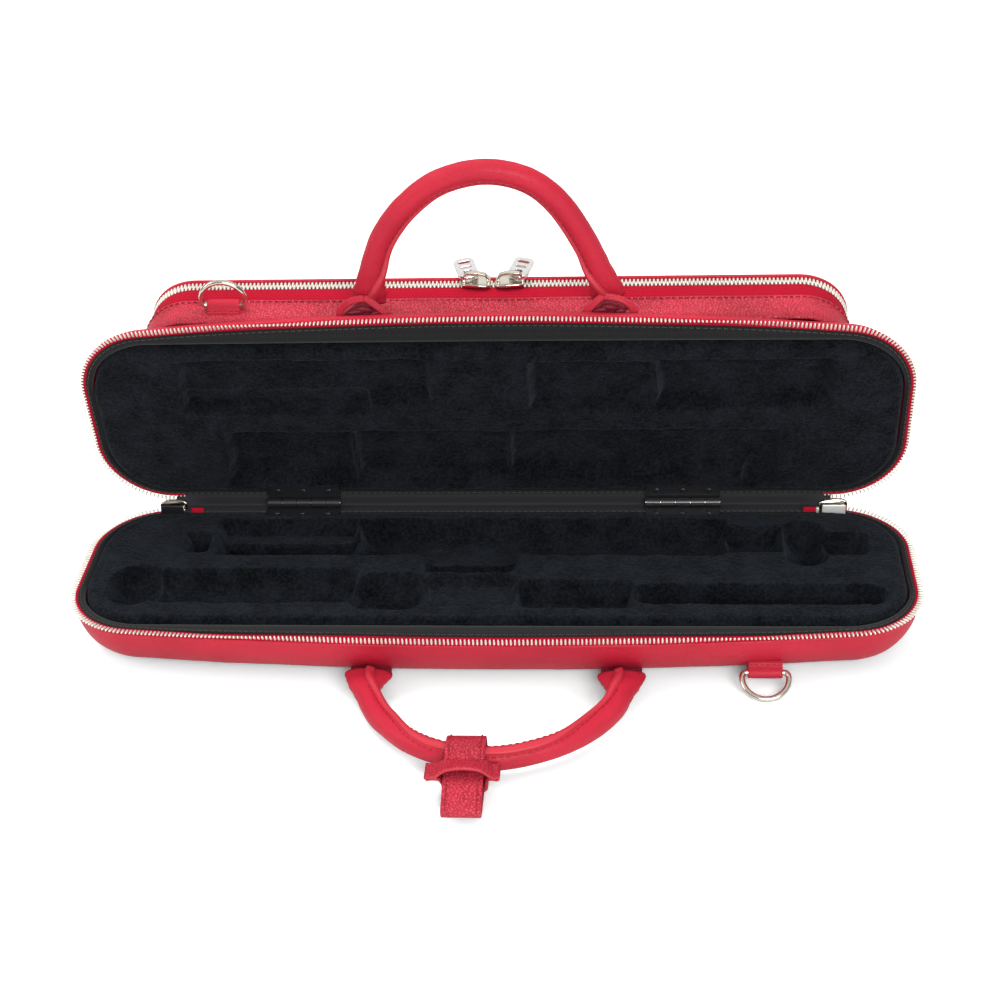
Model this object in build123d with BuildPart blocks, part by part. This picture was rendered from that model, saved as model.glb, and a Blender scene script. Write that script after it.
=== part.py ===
"""Soft-sided flute case: two drafted leather halves on a back hinge, closed by a zip.

Frame: X along the case, Y towards the hinge, Z up; origin in the middle of the base's underside.
The lid is drawn open. Depths are measured from the plane where the two halves meet.
"""
import os
from math import acos, asin, atan2, cos, hypot, pi, radians, sin, sqrt, tan

from build123d import *

# --- the two halves ---------------------------------------------------------------
case_length = 431.0
front_edge_y = -54.2      # front edge at the two ends, before the corners are rounded
front_bow = 12.6          # how far the middle of the front edge stands further out
back_edge_y = 54.0
corner_radius = 38.0
base_depth = 32.7
lid_depth = 21.0
wall_draft = 8.0          # degrees
base_edge_radius = 9.0
lid_edge_radius = 8.0
cover_thickness = 1.6
shell_thickness = 2.4
lid_open_angle = 80.0
hinge_line_y = back_edge_y + 2.3

# --- zip and rim, depths from the meeting plane --------------------------------------
teeth_top = 0.6
teeth_length = 2.6
teeth_thickness = 2.0
tape_thickness = 0.7
tape_depth = 8.0
cover_top = 3.4
binding_depth = 6.0
binding_chamfer = 0.5
zip_end_gap = 43.5        # from the case's end to where the zip stops on the back edge
zip_end_x = case_length / 2 - zip_end_gap

# --- plush trays --------------------------------------------------------------------
tray_side_gap = 6.0       # from the rim to the tray's raised part
tray_front_gap = 5.2
tray_back_gap = 5.5
tray_length = case_length - 2 * tray_side_gap
tray_front_y = front_edge_y + tray_front_gap
tray_back_y = back_edge_y - tray_back_gap
tray_corner_radius = corner_radius - 5.0
tray_top = 0.6
tray_edge_radius = 2.5
tray_floor = 3.0          # least foam under a recess

# left, right, front, back, depth, corner radius
base_recesses = {
    "body_key_well": (-165.8, -151.9, 9.9, 28.1, 11.0, 3.0),
    "body_rib_rail": (-149.8, -74.5, 22.0, 40.4, 8.0, 3.0),
    "body_tube_left": (-149.8, -72.7, 7.2, 30.0, 14.0, 3.0),
    "body_tube": (-72.7, 121.4, 7.3, 40.3, 14.0, 4.0),
    "body_trill_keys": (-38.0, 13.0, -8.8, 12.0, 11.0, 7.0),
    "body_tenon": (121.0, 150.1, 10.0, 33.4, 11.0, 2.5),
    "crown_well": (150.1, 172.5, -3.3, 39.0, 15.0, 10.5),
    "end_well": (172.0, 193.5, 7.3, 26.4, 10.0, 3.5),
    "ball_well": (-197.5, -169.1, -37.7, -3.7, 15.0, 13.5),
    "foot_tube": (-174.3, -68.9, -35.5, -6.4, 13.0, 5.0),
    "foot_keys": (-72.1, -32.7, -40.9, -10.2, 14.0, 12.0),
    "lip_rest": (-25.0, 13.8, -38.3, -10.1, 6.0, 8.0),
    "lip_plate": (12.6, 73.0, -39.3, -16.6, 13.0, 5.0),
    "head_tube": (72.0, 198.6, -36.3, -19.8, 13.0, 8.0),
}
lid_recesses = {
    "rib_rail": (-163.3, -31.5, -41.8, -13.4, 9.0, 3.0),
    "rib_rail_step": (-163.3, -64.0, -20.0, -7.0, 9.0, 3.0),
    "trill_keys": (-145.1, -75.0, 6.4, 42.2, 9.0, 3.0),
    "body_keys": (-76.0, 8.5, 5.8, 39.3, 9.0, 3.0),
    "body_keys_right": (6.0, 149.0, 5.6, 38.7, 9.0, 3.0),
    "end_arch": (127.9, 147.9, 27.3, 45.0, 9.0, 8.5),
    "lip_plate": (18.3, 84.5, -39.6, -7.2, 9.0, 3.0),
    "head_tube": (83.5, 174.4, -40.5, -9.6, 9.0, 3.0),
}

# --- hinges --------------------------------------------------------------------------
hinge_centres = {"left": 108.5 - case_length / 2, "right": case_length / 2 - 116.5}
hinge_width = 40.0
knuckle_count = 5
knuckle_radius = 2.4
knuckle_gap = 0.3
pin_radius = 1.0
pin_running_clearance = 0.06
leaf_top = 1.8
leaf_front_y = back_edge_y - 8.5
leaf_to_line = 2.1        # from a leaf's edge to the hinge line, crossed by its own knuckles only
knuckle_root = 0.6        # how near the hinge line the knuckles' webs reach
spine_half_length = zip_end_x - 4.0
spine_thickness = 1.0
spine_lift = 0.05
spine_fold_radius = 1.5
spine_seam_near = 4.5     # depths between which the spine is sewn to each back wall
spine_seam_far = 12.0

# --- accessory pocket on the lid --------------------------------------------------------
pocket_end_gap = 38.5     # from the case's end to the pocket
pocket_half_length = case_length / 2 - pocket_end_gap
pocket_front_y = front_edge_y - 3.3
pocket_back_y = back_edge_y - 18.0
pocket_corner_radius = 24.0
gusset_height = 11.5
gusset_thickness = 1.6
pocket_tape_height = 9.5
pocket_tape_thickness = 0.7
pocket_row_height = 2.6
pocket_row_thickness = 1.8
pocket_row_gap = 1.1
panel_thickness = 2.8
panel_edge_radius = 1.3
pocket_zip_low_y = 10.0   # the pocket's zip runs down both ends to here
flap_clearance = 0.12
lining_thickness = 0.6
lining_inset = 10.0

# --- handles -----------------------------------------------------------------------------
handle_half_span = 62.4
handle_grip_radius = 6.25
handle_core_radius = 4.2
handle_root_radius = 4.0
handle_root_width = 18.0
handle_root_step = 0.4     # the grip narrows by this much more than the root
socket_clearance = 0.3
handle_tab_width = 24.0
handle_tab_height = 13.0
handle_tab_corner = 2.5
handle_tab_back = 1.2      # leather between the root socket and the wall
handle_neck = 6.0
handle_axle_radius = 1.6
base_handle_x = 4.0
base_handle_z = 10.3
base_handle_crown = handle_half_span - 2.4
base_handle_reach = base_handle_crown + 1.0
lid_handle_x = -2.0
lid_handle_depth = 25.0
lid_handle_crown = handle_half_span - 10.8
lid_handle_reach = lid_handle_crown + 24.4

# --- keeper that ties the two handles ---------------------------------------------------
keeper_x = -5.5
keeper_width = 18.5
keeper_thickness = 1.6
keeper_clearance = 0.3
keeper_swing = 25.0       # degrees it can be lifted by
tail_reach = 33.0         # from the grip's crown to the tail's end bend
tail_z = 7.6
tail_bend_radius = 1.6
band_length = 37.0
band_width = 10.0
band_thickness = 1.6
band_place = 17.0

# --- D-rings ------------------------------------------------------------------------------
ring_inner_width = 20.0
ring_wire_radius = 1.45
ring_leg = 3.0
ring_corner_radius = 2.6
ring_tab_width = 16.0
ring_tab_height = 9.0
ring_tab_depth = 4.3
ring_tab_corner = 1.5
ring_running_clearance = 0.08
ring_bar_off = 2.1        # bar centre from the wall
ring_floor_gap = 0.1
base_ring_x = case_length / 2 - 78.5
base_ring_z = 8.0
lid_ring_x = 77.5 - case_length / 2
lid_ring_depth = 25.0

# --- sliders and pulls ---------------------------------------------------------------------
slider_length = 14.0
slider_corner_radius = 2.0
slider_plate = 1.2
slider_clearance = 0.3
slider_post = 0.5
slider_post_length = 6.0
main_slider_x = zip_end_x + slider_length / 2
main_slider_low = 5.0
main_slider_high = 2.3
inner_plate_reach = 1.6
pocket_slider_x = 8.8
pocket_slider_width = 10.0
pull_length = 14.5
pull_width = 10.5
pull_thickness = 1.4
pull_corner_radius = 2.6
pull_eye_radius = 1.5
pull_eye_width = 5.6
pull_pin_radius = 0.8
pull_running_clearance = 0.06
pull_slot_width = 7.2
pull_slots = ((6.4, 1.6), (10.6, 2.4))   # centre from the pin, height
lug_thickness = 1.0
lug_height = 2.1
pocket_pull_twist = 18.0  # degrees from the zip to the pull's pin
pocket_pull_lean = 85.0   # degrees from standing straight off the zip, towards the panel
pocket_pin_shift = 3.4     # from the slider's middle towards its outer end
main_pull_lean = 82.0

# --- worked out ------------------------------------------------------------------------------
draft_slope = tan(radians(wall_draft))
tape_inset = cover_thickness
teeth_bottom = teeth_top + teeth_length
binding_top = teeth_bottom
teeth_inset = tape_inset + tape_thickness / 2 - teeth_thickness / 2
tray_inset = cover_thickness + shell_thickness
pocket_floor = lid_depth
gusset_end = pocket_floor + gusset_height
pocket_tape_end = gusset_end + pocket_tape_height
inner_row_end = pocket_tape_end + pocket_row_height
outer_row_start = inner_row_end + pocket_row_gap
panel_start = outer_row_start + pocket_row_height
flap_root_gap = (sqrt(2) - 1) * panel_thickness / 2 + flap_clearance
pocket_end = panel_start + panel_thickness
leaf_thickness = binding_top - leaf_top

base_mouth = Plane(origin=(0, 0, base_depth), x_dir=(-1, 0, 0), z_dir=(0, 0, -1))
lid_along = (0, cos(radians(lid_open_angle)), -sin(radians(lid_open_angle)))
lid_out = (0, sin(radians(lid_open_angle)), cos(radians(lid_open_angle)))
lid_mouth = Plane(
    origin=(0, hinge_line_y * (1 - lid_along[1]), base_depth - hinge_line_y * lid_along[2]),
    x_dir=(1, 0, 0),
    z_dir=lid_out,
)


os.makedirs("parts", exist_ok=True)


def lid_place(x, y, depth):
    """World point of a place on the lid, given as on the closed case."""
    return lid_mouth.from_local_coords((x, y, depth))


def save(piece, name):
    """Label a finished piece and write its file."""
    piece.label = name
    export_step(piece, f"parts/{name}.step")


def rim_outline(level, inset):
    """Plan outline of the halves on a level, moved in from the skin."""
    half = case_length / 2
    with BuildSketch(level) as outline:
        with BuildLine():
            front = ThreePointArc((-half, front_edge_y), (0, front_edge_y - front_bow), (half, front_edge_y))
            Polyline(front @ 1, (half, back_edge_y), (-half, back_edge_y), front @ 0)
        make_face()
        fillet(outline.vertices(), corner_radius)
        offset(amount=-inset, mode=Mode.REPLACE)
    return outline.sketch


def drafted(mouth, inset, top, bottom):
    """Solid that fills a half between two depths, set in from the skin."""
    with BuildPart() as solid:
        extrude(rim_outline(mouth.offset(top), inset + top * draft_slope), amount=bottom - top, taper=wall_draft)
    return solid.part


def tub(mouth, inset, top, depth, edge_radius):
    """Drafted solid with a rounded closed end."""
    with BuildPart() as solid:
        add(drafted(mouth, inset, top, depth - inset))
        closed_end = solid.faces().sort_by(Axis(mouth.origin, mouth.z_dir))[-1]
        fillet(closed_end.edges(), edge_radius - inset)
    return solid.part


def slab(mouth, x_range, y_range, depth_range):
    """Box over a stretch of a half, in plan sizes and depths."""
    flip = -1 if mouth is base_mouth else 1
    with BuildPart() as solid:
        with BuildSketch(mouth.offset(depth_range[0])):
            with Locations((flip * sum(x_range) / 2, sum(y_range) / 2)):
                Rectangle(x_range[1] - x_range[0], y_range[1] - y_range[0])
        extrude(amount=depth_range[1] - depth_range[0])
    return solid.part


def zip_gap(mouth):
    """Stretch of the back edge, over the spine, where the zip doesn't run."""
    return slab(mouth, (-zip_end_x, zip_end_x), (0, 2 * back_edge_y), (0, base_depth))


def make_half(prefix, mouth, depth, edge_radius):
    """Cover, stiff shell, binding, zip tape and zip teeth of one half."""
    with BuildPart() as cover:
        add(tub(mouth, 0, cover_top, depth, edge_radius))
        add(tub(mouth, cover_thickness, cover_top, depth, edge_radius), mode=Mode.SUBTRACT)
    save(cover.part, f"{prefix}_cover")

    with BuildPart() as shell:
        add(tub(mouth, cover_thickness, binding_depth, depth, edge_radius))
        add(tub(mouth, tray_inset, binding_depth, depth, edge_radius), mode=Mode.SUBTRACT)
        add(drafted(mouth, tape_inset, binding_depth, tape_depth), mode=Mode.SUBTRACT)
        add(drafted(mouth, tape_inset + tape_thickness, binding_depth, tape_depth))
        add(drafted(mouth, tray_inset, binding_depth, tape_depth), mode=Mode.SUBTRACT)
    save(shell.part, f"{prefix}_shell")

    with BuildPart() as binding:
        add(drafted(mouth, tape_inset + tape_thickness, binding_top, binding_depth))
        extrude(tray_outline(mouth.offset(binding_top)), amount=binding_depth - binding_top, mode=Mode.SUBTRACT)
        upper_face = binding.faces().sort_by(Axis(mouth.origin, mouth.z_dir))[0]
        chamfer(upper_face.outer_wire().edges(), binding_chamfer)
    save(binding.part, f"{prefix}_binding")

    with BuildPart() as tape:
        add(drafted(mouth, tape_inset, teeth_bottom, tape_depth))
        add(drafted(mouth, tape_inset + tape_thickness, teeth_bottom, tape_depth), mode=Mode.SUBTRACT)
        add(zip_gap(mouth), mode=Mode.SUBTRACT)
    save(tape.part, f"{prefix}_zip_tape")

    with BuildPart() as teeth:
        add(drafted(mouth, teeth_inset, teeth_top, teeth_bottom))
        add(drafted(mouth, teeth_inset + teeth_thickness, teeth_top, teeth_bottom), mode=Mode.SUBTRACT)
        add(zip_gap(mouth), mode=Mode.SUBTRACT)
    save(teeth.part, f"{prefix}_zip_teeth")


def tray_outline(level):
    """Plan outline of the raised part of a tray."""
    with BuildSketch(level) as outline:
        with Locations((0, (tray_front_y + tray_back_y) / 2)):
            RectangleRounded(tray_length, tray_back_y - tray_front_y, tray_corner_radius)
    return outline.sketch


def make_tray(prefix, mouth, depth, edge_radius, recesses):
    """Plush-covered foam with the wells for the instrument and seats for the hinge leaves."""
    flip = -1 if mouth is base_mouth else 1
    with BuildPart() as tray:
        extrude(tray_outline(mouth.offset(tray_top)), amount=binding_depth - tray_top)
        upper_face = tray.faces().sort_by(Axis(mouth.origin, mouth.z_dir))[0]
        fillet(upper_face.edges(), tray_edge_radius)
        add(tub(mouth, tray_inset, binding_depth, depth, edge_radius))
        for left, right, front, back, well_depth, radius in recesses.values():
            with BuildSketch(mouth.offset(tray_top)):
                with Locations((flip * (left + right) / 2, (front + back) / 2)):
                    RectangleRounded(right - left, back - front, radius)
            extrude(amount=well_depth, mode=Mode.SUBTRACT)
        for centre in hinge_centres.values():
            half = hinge_width / 2 + knuckle_gap
            seat = slab(mouth, (centre - half, centre + half), (leaf_front_y, back_edge_y), (0, binding_top))
            add(seat, mode=Mode.SUBTRACT)
    save(tray.part, f"{prefix}_tray")


make_half("base", base_mouth, base_depth, base_edge_radius)
make_half("lid", lid_mouth, lid_depth, lid_edge_radius)
make_tray("base", base_mouth, base_depth, base_edge_radius, base_recesses)
make_tray("lid", lid_mouth, lid_depth, lid_edge_radius, lid_recesses)
base_body = tub(base_mouth, 0, cover_top, base_depth, base_edge_radius)
lid_body = tub(lid_mouth, 0, cover_top, lid_depth, lid_edge_radius)


def skin_y(depth, front=False, x=0.0):
    """Plan place of a half's skin at a depth, at the back or, at x, at the front."""
    if not front:
        return back_edge_y - depth * draft_slope
    half = case_length / 2
    arc_radius = (half**2 + front_bow**2) / (2 * front_bow)
    at_rim = front_edge_y - front_bow + arc_radius - sqrt(arc_radius**2 - x**2)
    return at_rim + depth * draft_slope


def x_axis_plane(x, y, z):
    """Plane square to X, for round parts that turn about X."""
    return Plane(origin=(x, y, z), x_dir=(0, 1, 0), z_dir=(1, 0, 0))


def rod(plane, radius, length):
    """Round bar that starts on a plane."""
    with BuildPart() as bar:
        with BuildSketch(plane):
            Circle(radius)
        extrude(amount=length)
    return bar.part


# --- hinges -----------------------------------------------------------------------------
knuckle_pitch = hinge_width / knuckle_count
leaf_end_y = hinge_line_y - leaf_to_line


def make_leaf(name, mouth, centre, knuckles, bore_radius):
    """One hinge leaf with its share of the knuckles."""
    start = centre - hinge_width / 2
    with BuildPart() as leaf:
        add(slab(mouth, (start, start + hinge_width), (leaf_front_y, leaf_end_y), (leaf_top, binding_top)))
        for index in knuckles:
            left = start + index * knuckle_pitch + knuckle_gap / 2
            right = left + knuckle_pitch - knuckle_gap
            add(slab(mouth, (left, right), (leaf_end_y, hinge_line_y - knuckle_root), (leaf_top, binding_top)))
            add(rod(x_axis_plane(left, hinge_line_y, base_depth), knuckle_radius, right - left))
        add(rod(x_axis_plane(start, hinge_line_y, base_depth), bore_radius, hinge_width), mode=Mode.SUBTRACT)
    save(leaf.part, name)


for side, centre in hinge_centres.items():
    make_leaf(f"base_hinge_leaf_{side}", base_mouth, centre, (0, 2, 4), pin_radius)
    make_leaf(f"lid_hinge_leaf_{side}", lid_mouth, centre, (1, 3), pin_radius + pin_running_clearance)
    pin_start = x_axis_plane(centre - hinge_width / 2, hinge_line_y, base_depth)
    save(rod(pin_start, pin_radius, hinge_width), f"hinge_pin_{side}")

spine_off = spine_thickness / 2 + spine_lift
near_y = skin_y(spine_seam_near) + spine_off
far_y = skin_y(spine_seam_far) + spine_off
round_knuckles = knuckle_radius + spine_thickness
lid_near = lid_place(0, near_y, spine_seam_near)
lid_far = lid_place(0, far_y, spine_seam_far)
with BuildPart() as spine:
    with BuildSketch(x_axis_plane(-spine_half_length, 0, 0)):
        with BuildLine():
            FilletPolyline(
                (far_y, base_depth - spine_seam_far),
                (near_y, base_depth - spine_seam_near),
                (hinge_line_y + round_knuckles, base_depth - round_knuckles),
                (lid_near.Y, lid_near.Z),
                (lid_far.Y, lid_far.Z),
                radius=spine_fold_radius,
            )
        trace(line_width=spine_thickness)
    extrude(amount=2 * spine_half_length)
save(spine.part, "spine")


# --- accessory pocket --------------------------------------------------------------------
def pocket_outline(depth, inset):
    """Plan outline of the pocket at a depth in the lid."""
    with BuildSketch(lid_mouth.offset(depth)) as outline:
        with Locations((0, (pocket_front_y + pocket_back_y) / 2)):
            RectangleRounded(
                2 * (pocket_half_length - inset),
                pocket_back_y - pocket_front_y - 2 * inset,
                pocket_corner_radius - inset,
            )
    return outline.sketch


def pocket_ring(top, bottom, inset, thickness):
    """Upright wall that follows the pocket's outline."""
    with BuildPart() as ring:
        extrude(pocket_outline(top, inset), amount=bottom - top)
        extrude(pocket_outline(top, inset + thickness), amount=bottom - top, mode=Mode.SUBTRACT)
    return ring.part


def pocket_stretch(y_low, y_high, top):
    """Everything past a depth between two plan lines, used to trim the pocket's walls."""
    return slab(lid_mouth, (-case_length, case_length), (y_low, y_high), (top, 2 * pocket_end))


flap_axis_y = pocket_back_y - panel_thickness / 2
flap_axis_depth = panel_start + panel_thickness / 2
row_inset = gusset_thickness / 4
tape_at = row_inset + (pocket_row_thickness - pocket_tape_thickness) / 2

with BuildPart() as gusset:
    add(pocket_ring(pocket_floor - lid_edge_radius, panel_start - flap_root_gap, 0, gusset_thickness))
    add(pocket_stretch(-case_length, pocket_zip_low_y, gusset_end), mode=Mode.SUBTRACT)
    add(lid_body, mode=Mode.SUBTRACT)
save(gusset.part, "pocket_gusset")

with BuildPart() as lining:
    extrude(pocket_outline(pocket_floor, lining_inset), amount=lining_thickness)
save(lining.part, "pocket_lining")

with BuildPart() as panel:
    extrude(pocket_outline(panel_start, 0), amount=panel_thickness)
    fillet(panel.faces().sort_by(Axis(lid_mouth.origin, lid_mouth.z_dir))[-1].edges(), panel_edge_radius)
    straight_half = pocket_half_length - pocket_corner_radius
    root_start = lid_place(-straight_half, flap_axis_y, flap_axis_depth)
    add(rod(x_axis_plane(*root_start), panel_thickness / 2, 2 * straight_half))
save(panel.part, "pocket_panel")

pocket_walls = {
    "pocket_tape": (gusset_end, pocket_tape_end, tape_at, pocket_tape_thickness),
    "pocket_teeth": (pocket_tape_end, inner_row_end, row_inset, pocket_row_thickness),
    "pocket_flap_teeth": (outer_row_start, panel_start, row_inset, pocket_row_thickness),
    "pocket_flap_tape": (
        inner_row_end + pocket_row_gap + pocket_row_height / 3,
        panel_start,
        row_inset + pocket_row_thickness,
        pocket_tape_thickness,
    ),
}
for name, (top, bottom, inset, thickness) in pocket_walls.items():
    with BuildPart() as wall:
        add(pocket_ring(top, bottom, inset, thickness))
        add(pocket_stretch(pocket_zip_low_y, case_length, 0), mode=Mode.SUBTRACT)
    save(wall.part, name)


# --- handles ------------------------------------------------------------------------------
def handle_line(reach, crown_radius):
    """Half of a handle's centre line: straight leg, then an arc to the crown."""
    centre_height = reach - crown_radius
    spoke = hypot(handle_half_span, centre_height)
    touch_angle = acos(crown_radius / spoke) - atan2(centre_height, handle_half_span)
    touch = (crown_radius * cos(touch_angle), centre_height + crown_radius * sin(touch_angle))
    middle_angle = (touch_angle + pi / 2) / 2
    middle = (crown_radius * cos(middle_angle), centre_height + crown_radius * sin(middle_angle))
    leg_length = sqrt(spoke**2 - crown_radius**2)
    share = handle_neck / leg_length
    start = (handle_half_span + (touch[0] - handle_half_span) * share, touch[1] * share)
    leg = Line(start, touch)
    ThreePointArc(touch, middle, (0, reach))
    return leg


def make_handle(prefix, level, reach, crown_radius):
    """Leather grip, rope core and the two roots that turn in the tabs, on a handle's own plane."""
    with BuildLine(level) as half_line:
        leg = handle_line(reach, crown_radius)
        foot_plane = Plane(origin=leg @ 0, z_dir=leg % 0)
    foot_direction = foot_plane.z_dir
    pivot = foot_plane.origin - foot_direction * handle_neck
    with BuildPart() as core:
        with BuildSketch(foot_plane):
            Circle(handle_core_radius)
        sweep(path=half_line.line)
        mirror(about=Plane(origin=level.origin, x_dir=level.y_dir, z_dir=level.x_dir))
    save(core.part, f"{prefix}_handle_core")
    with BuildPart() as grip:
        with BuildSketch(foot_plane):
            Circle(handle_grip_radius)
        sweep(path=half_line.line)
        with BuildSketch(foot_plane):
            Circle(handle_grip_radius)
        with BuildSketch(Plane(origin=pivot, z_dir=foot_direction)):
            Circle(handle_root_radius - handle_root_step)
        loft()
        root_start = Plane(origin=pivot - level.x_dir * handle_root_width / 2, z_dir=level.x_dir)
        add(rod(root_start, handle_root_radius, handle_root_width))
        axle_start = Plane(origin=pivot - level.x_dir * handle_tab_width / 2, z_dir=level.x_dir)
        add(rod(axle_start, handle_axle_radius, handle_tab_width))
        mirror(about=Plane(origin=level.origin, x_dir=level.y_dir, z_dir=level.x_dir))
        add(core.part, mode=Mode.SUBTRACT)
    save(grip.part, f"{prefix}_handle_grip")


def make_handle_tab(name, pivot_plane, wall_reach, walls):
    """Leather tab sewn to the wall, whose two cheeks hold the axle of a handle root."""
    with BuildPart() as tab:
        with BuildSketch(pivot_plane.offset(-wall_reach)):
            RectangleRounded(handle_tab_width, handle_tab_height, handle_tab_corner)
        extrude(amount=wall_reach + handle_root_radius / 2)
        with BuildSketch(pivot_plane.offset(-handle_root_radius - socket_clearance)):
            Rectangle(handle_root_width + 2 * socket_clearance, 2 * handle_tab_height)
        extrude(amount=2 * handle_tab_height, mode=Mode.SUBTRACT)
        axle_start = Plane(origin=pivot_plane.origin - pivot_plane.x_dir * handle_tab_width, z_dir=pivot_plane.x_dir)
        bore = handle_axle_radius + pin_running_clearance
        add(rod(axle_start, bore, 2 * handle_tab_width), mode=Mode.SUBTRACT)
        for wall in walls:
            add(wall, mode=Mode.SUBTRACT)
    save(tab.part, name)


handle_wall_gap = handle_root_radius + socket_clearance + handle_tab_back
base_handle_y = skin_y(base_depth - base_handle_z, True, handle_half_span) - handle_wall_gap
lid_handle_y = pocket_front_y - handle_wall_gap
with BuildPart() as pocket_block:
    extrude(pocket_outline(pocket_floor - lid_edge_radius, 0), amount=pocket_end)
base_handle_level = Plane(origin=(base_handle_x, base_handle_y, base_handle_z), x_dir=(-1, 0, 0), z_dir=(0, 0, 1))
lid_handle_level = Plane(
    origin=lid_place(lid_handle_x, lid_handle_y, lid_handle_depth),
    x_dir=(-1, 0, 0),
    z_dir=lid_out,
)
make_handle("base", base_handle_level, base_handle_reach, base_handle_crown)
make_handle("lid", lid_handle_level, lid_handle_reach, lid_handle_crown)
for side, sign in (("left", -1), ("right", 1)):
    base_pivot = Plane(
        origin=(base_handle_x + sign * handle_half_span, base_handle_y, base_handle_z),
        x_dir=(1, 0, 0),
        z_dir=(0, -1, 0),
    )
    reach = 3 * handle_wall_gap
    make_handle_tab(f"base_handle_tab_{side}", base_pivot, reach, [base_body])
    lid_pivot = Plane(
        origin=lid_place(lid_handle_x + sign * handle_half_span, lid_handle_y, lid_handle_depth),
        x_dir=(1, 0, 0),
        z_dir=tuple(-part for part in lid_along),
    )
    make_handle_tab(f"lid_handle_tab_{side}", lid_pivot, reach, [lid_body, pocket_block.part])


# --- keeper strap and band on the base handle ------------------------------------------------
crown_y = base_handle_y - base_handle_reach
strap_far_x = abs(keeper_x - base_handle_x) + keeper_width / 2
half_bend = (base_handle_crown - sqrt(base_handle_crown**2 - strap_far_x**2)) / 2
strap_bore = handle_grip_radius + keeper_clearance + half_bend * sin(radians(keeper_swing))
strap_y = crown_y + half_bend
strap_slack = half_bend - keeper_clearance
tail_y = crown_y - tail_reach
tail_radius = tail_bend_radius + keeper_thickness


def strap_profile(plane, grip_radius, end_radius):
    """Side view of the strap's loop: round over the grip, drawn together at the tail."""
    with BuildSketch(plane) as profile:
        with Locations((strap_y - strap_slack, base_handle_z), (strap_y + strap_slack, base_handle_z)):
            Circle(grip_radius)
        with Locations((tail_y, tail_z)):
            Circle(end_radius)
        make_hull()
    return profile.sketch


strap_side = x_axis_plane(keeper_x - keeper_width / 2, 0, 0)
with BuildPart() as strap:
    extrude(strap_profile(strap_side, strap_bore + keeper_thickness, tail_radius), amount=keeper_width)
    extrude(strap_profile(strap_side, strap_bore, tail_bend_radius), amount=keeper_width, mode=Mode.SUBTRACT)
save(strap.part, "keeper_strap")

band_y = crown_y - band_place
band_half_hole = keeper_width / 2 + keeper_clearance
hole_grow = keeper_thickness + keeper_clearance
band_grow = hole_grow + band_thickness
with BuildPart() as band:
    band_side = x_axis_plane(keeper_x - band_length / 2, 0, 0)
    extrude(strap_profile(band_side, strap_bore + band_grow, tail_bend_radius + band_grow), amount=band_length)
    with BuildSketch(Plane.XY):
        with Locations((keeper_x, band_y)):
            Rectangle(band_length, band_width)
    extrude(amount=2 * strap_bore + 2 * band_grow, both=True, mode=Mode.INTERSECT)
    hole_side = x_axis_plane(keeper_x - band_half_hole, 0, 0)
    hole = strap_profile(hole_side, strap_bore + hole_grow, tail_bend_radius + hole_grow)
    extrude(hole, amount=2 * band_half_hole, mode=Mode.SUBTRACT)
save(band.part, "keeper_band")


# --- D-rings -----------------------------------------------------------------------------------
ring_half = ring_inner_width / 2 + ring_wire_radius


def make_ring(prefix, bar_plane, wall_plane, walls):
    """D-ring on its bar plane and the leather tunnel that holds its bar to the wall."""
    with BuildPart() as ring:
        with BuildLine(bar_plane) as path:
            FilletPolyline(
                (-ring_half, ring_leg), (-ring_half, 0), (ring_half, 0), (ring_half, ring_leg),
                radius=ring_corner_radius,
            )
            ThreePointArc((-ring_half, ring_leg), (0, ring_leg + ring_half), (ring_half, ring_leg))
        bar = path.edges().sort_by(lambda edge: (edge @ 0.5 - bar_plane.origin).length)[0]
        with BuildSketch(Plane(origin=bar @ 0, z_dir=bar % 0)):
            Circle(ring_wire_radius)
        sweep(path=path.line)
    save(ring.part, f"{prefix}_ring")
    with BuildPart() as tab:
        with BuildSketch(wall_plane.offset(-2 * ring_tab_depth)):
            RectangleRounded(ring_tab_width, ring_tab_height, ring_tab_corner)
        extrude(amount=3 * ring_tab_depth)
        bore = ring_wire_radius + ring_running_clearance
        bore_start = Plane(
            origin=wall_plane.origin + wall_plane.z_dir * ring_bar_off - wall_plane.x_dir * ring_tab_width,
            z_dir=wall_plane.x_dir,
        )
        add(rod(bore_start, bore, 2 * ring_tab_width), mode=Mode.SUBTRACT)
        for wall in walls:
            add(wall, mode=Mode.SUBTRACT)
    save(tab.part, f"{prefix}_ring_tab")


base_wall_y = skin_y(base_depth - base_ring_z, True, base_ring_x)
droop = asin((base_ring_z - ring_wire_radius - ring_floor_gap) / (ring_leg + ring_half))
base_wall_plane = Plane(origin=(base_ring_x, base_wall_y, base_ring_z), x_dir=(1, 0, 0), z_dir=(0, -1, 0))
base_bar_plane = Plane(
    origin=(base_ring_x, base_wall_y - ring_bar_off, base_ring_z),
    x_dir=(-1, 0, 0),
    z_dir=(0, -sin(droop), cos(droop)),
)
make_ring("base", base_bar_plane, base_wall_plane, [base_body])
lid_up = Vector(lid_along) * -1
lid_wall_plane = Plane(
    origin=lid_place(lid_ring_x, pocket_front_y, lid_ring_depth),
    x_dir=(1, 0, 0),
    z_dir=lid_up,
)
lid_bar_plane = Plane(origin=lid_wall_plane.origin + lid_up * ring_bar_off, x_dir=(-1, 0, 0), z_dir=lid_out)
make_ring("lid", lid_bar_plane, lid_wall_plane, [lid_body, pocket_block.part])


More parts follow.
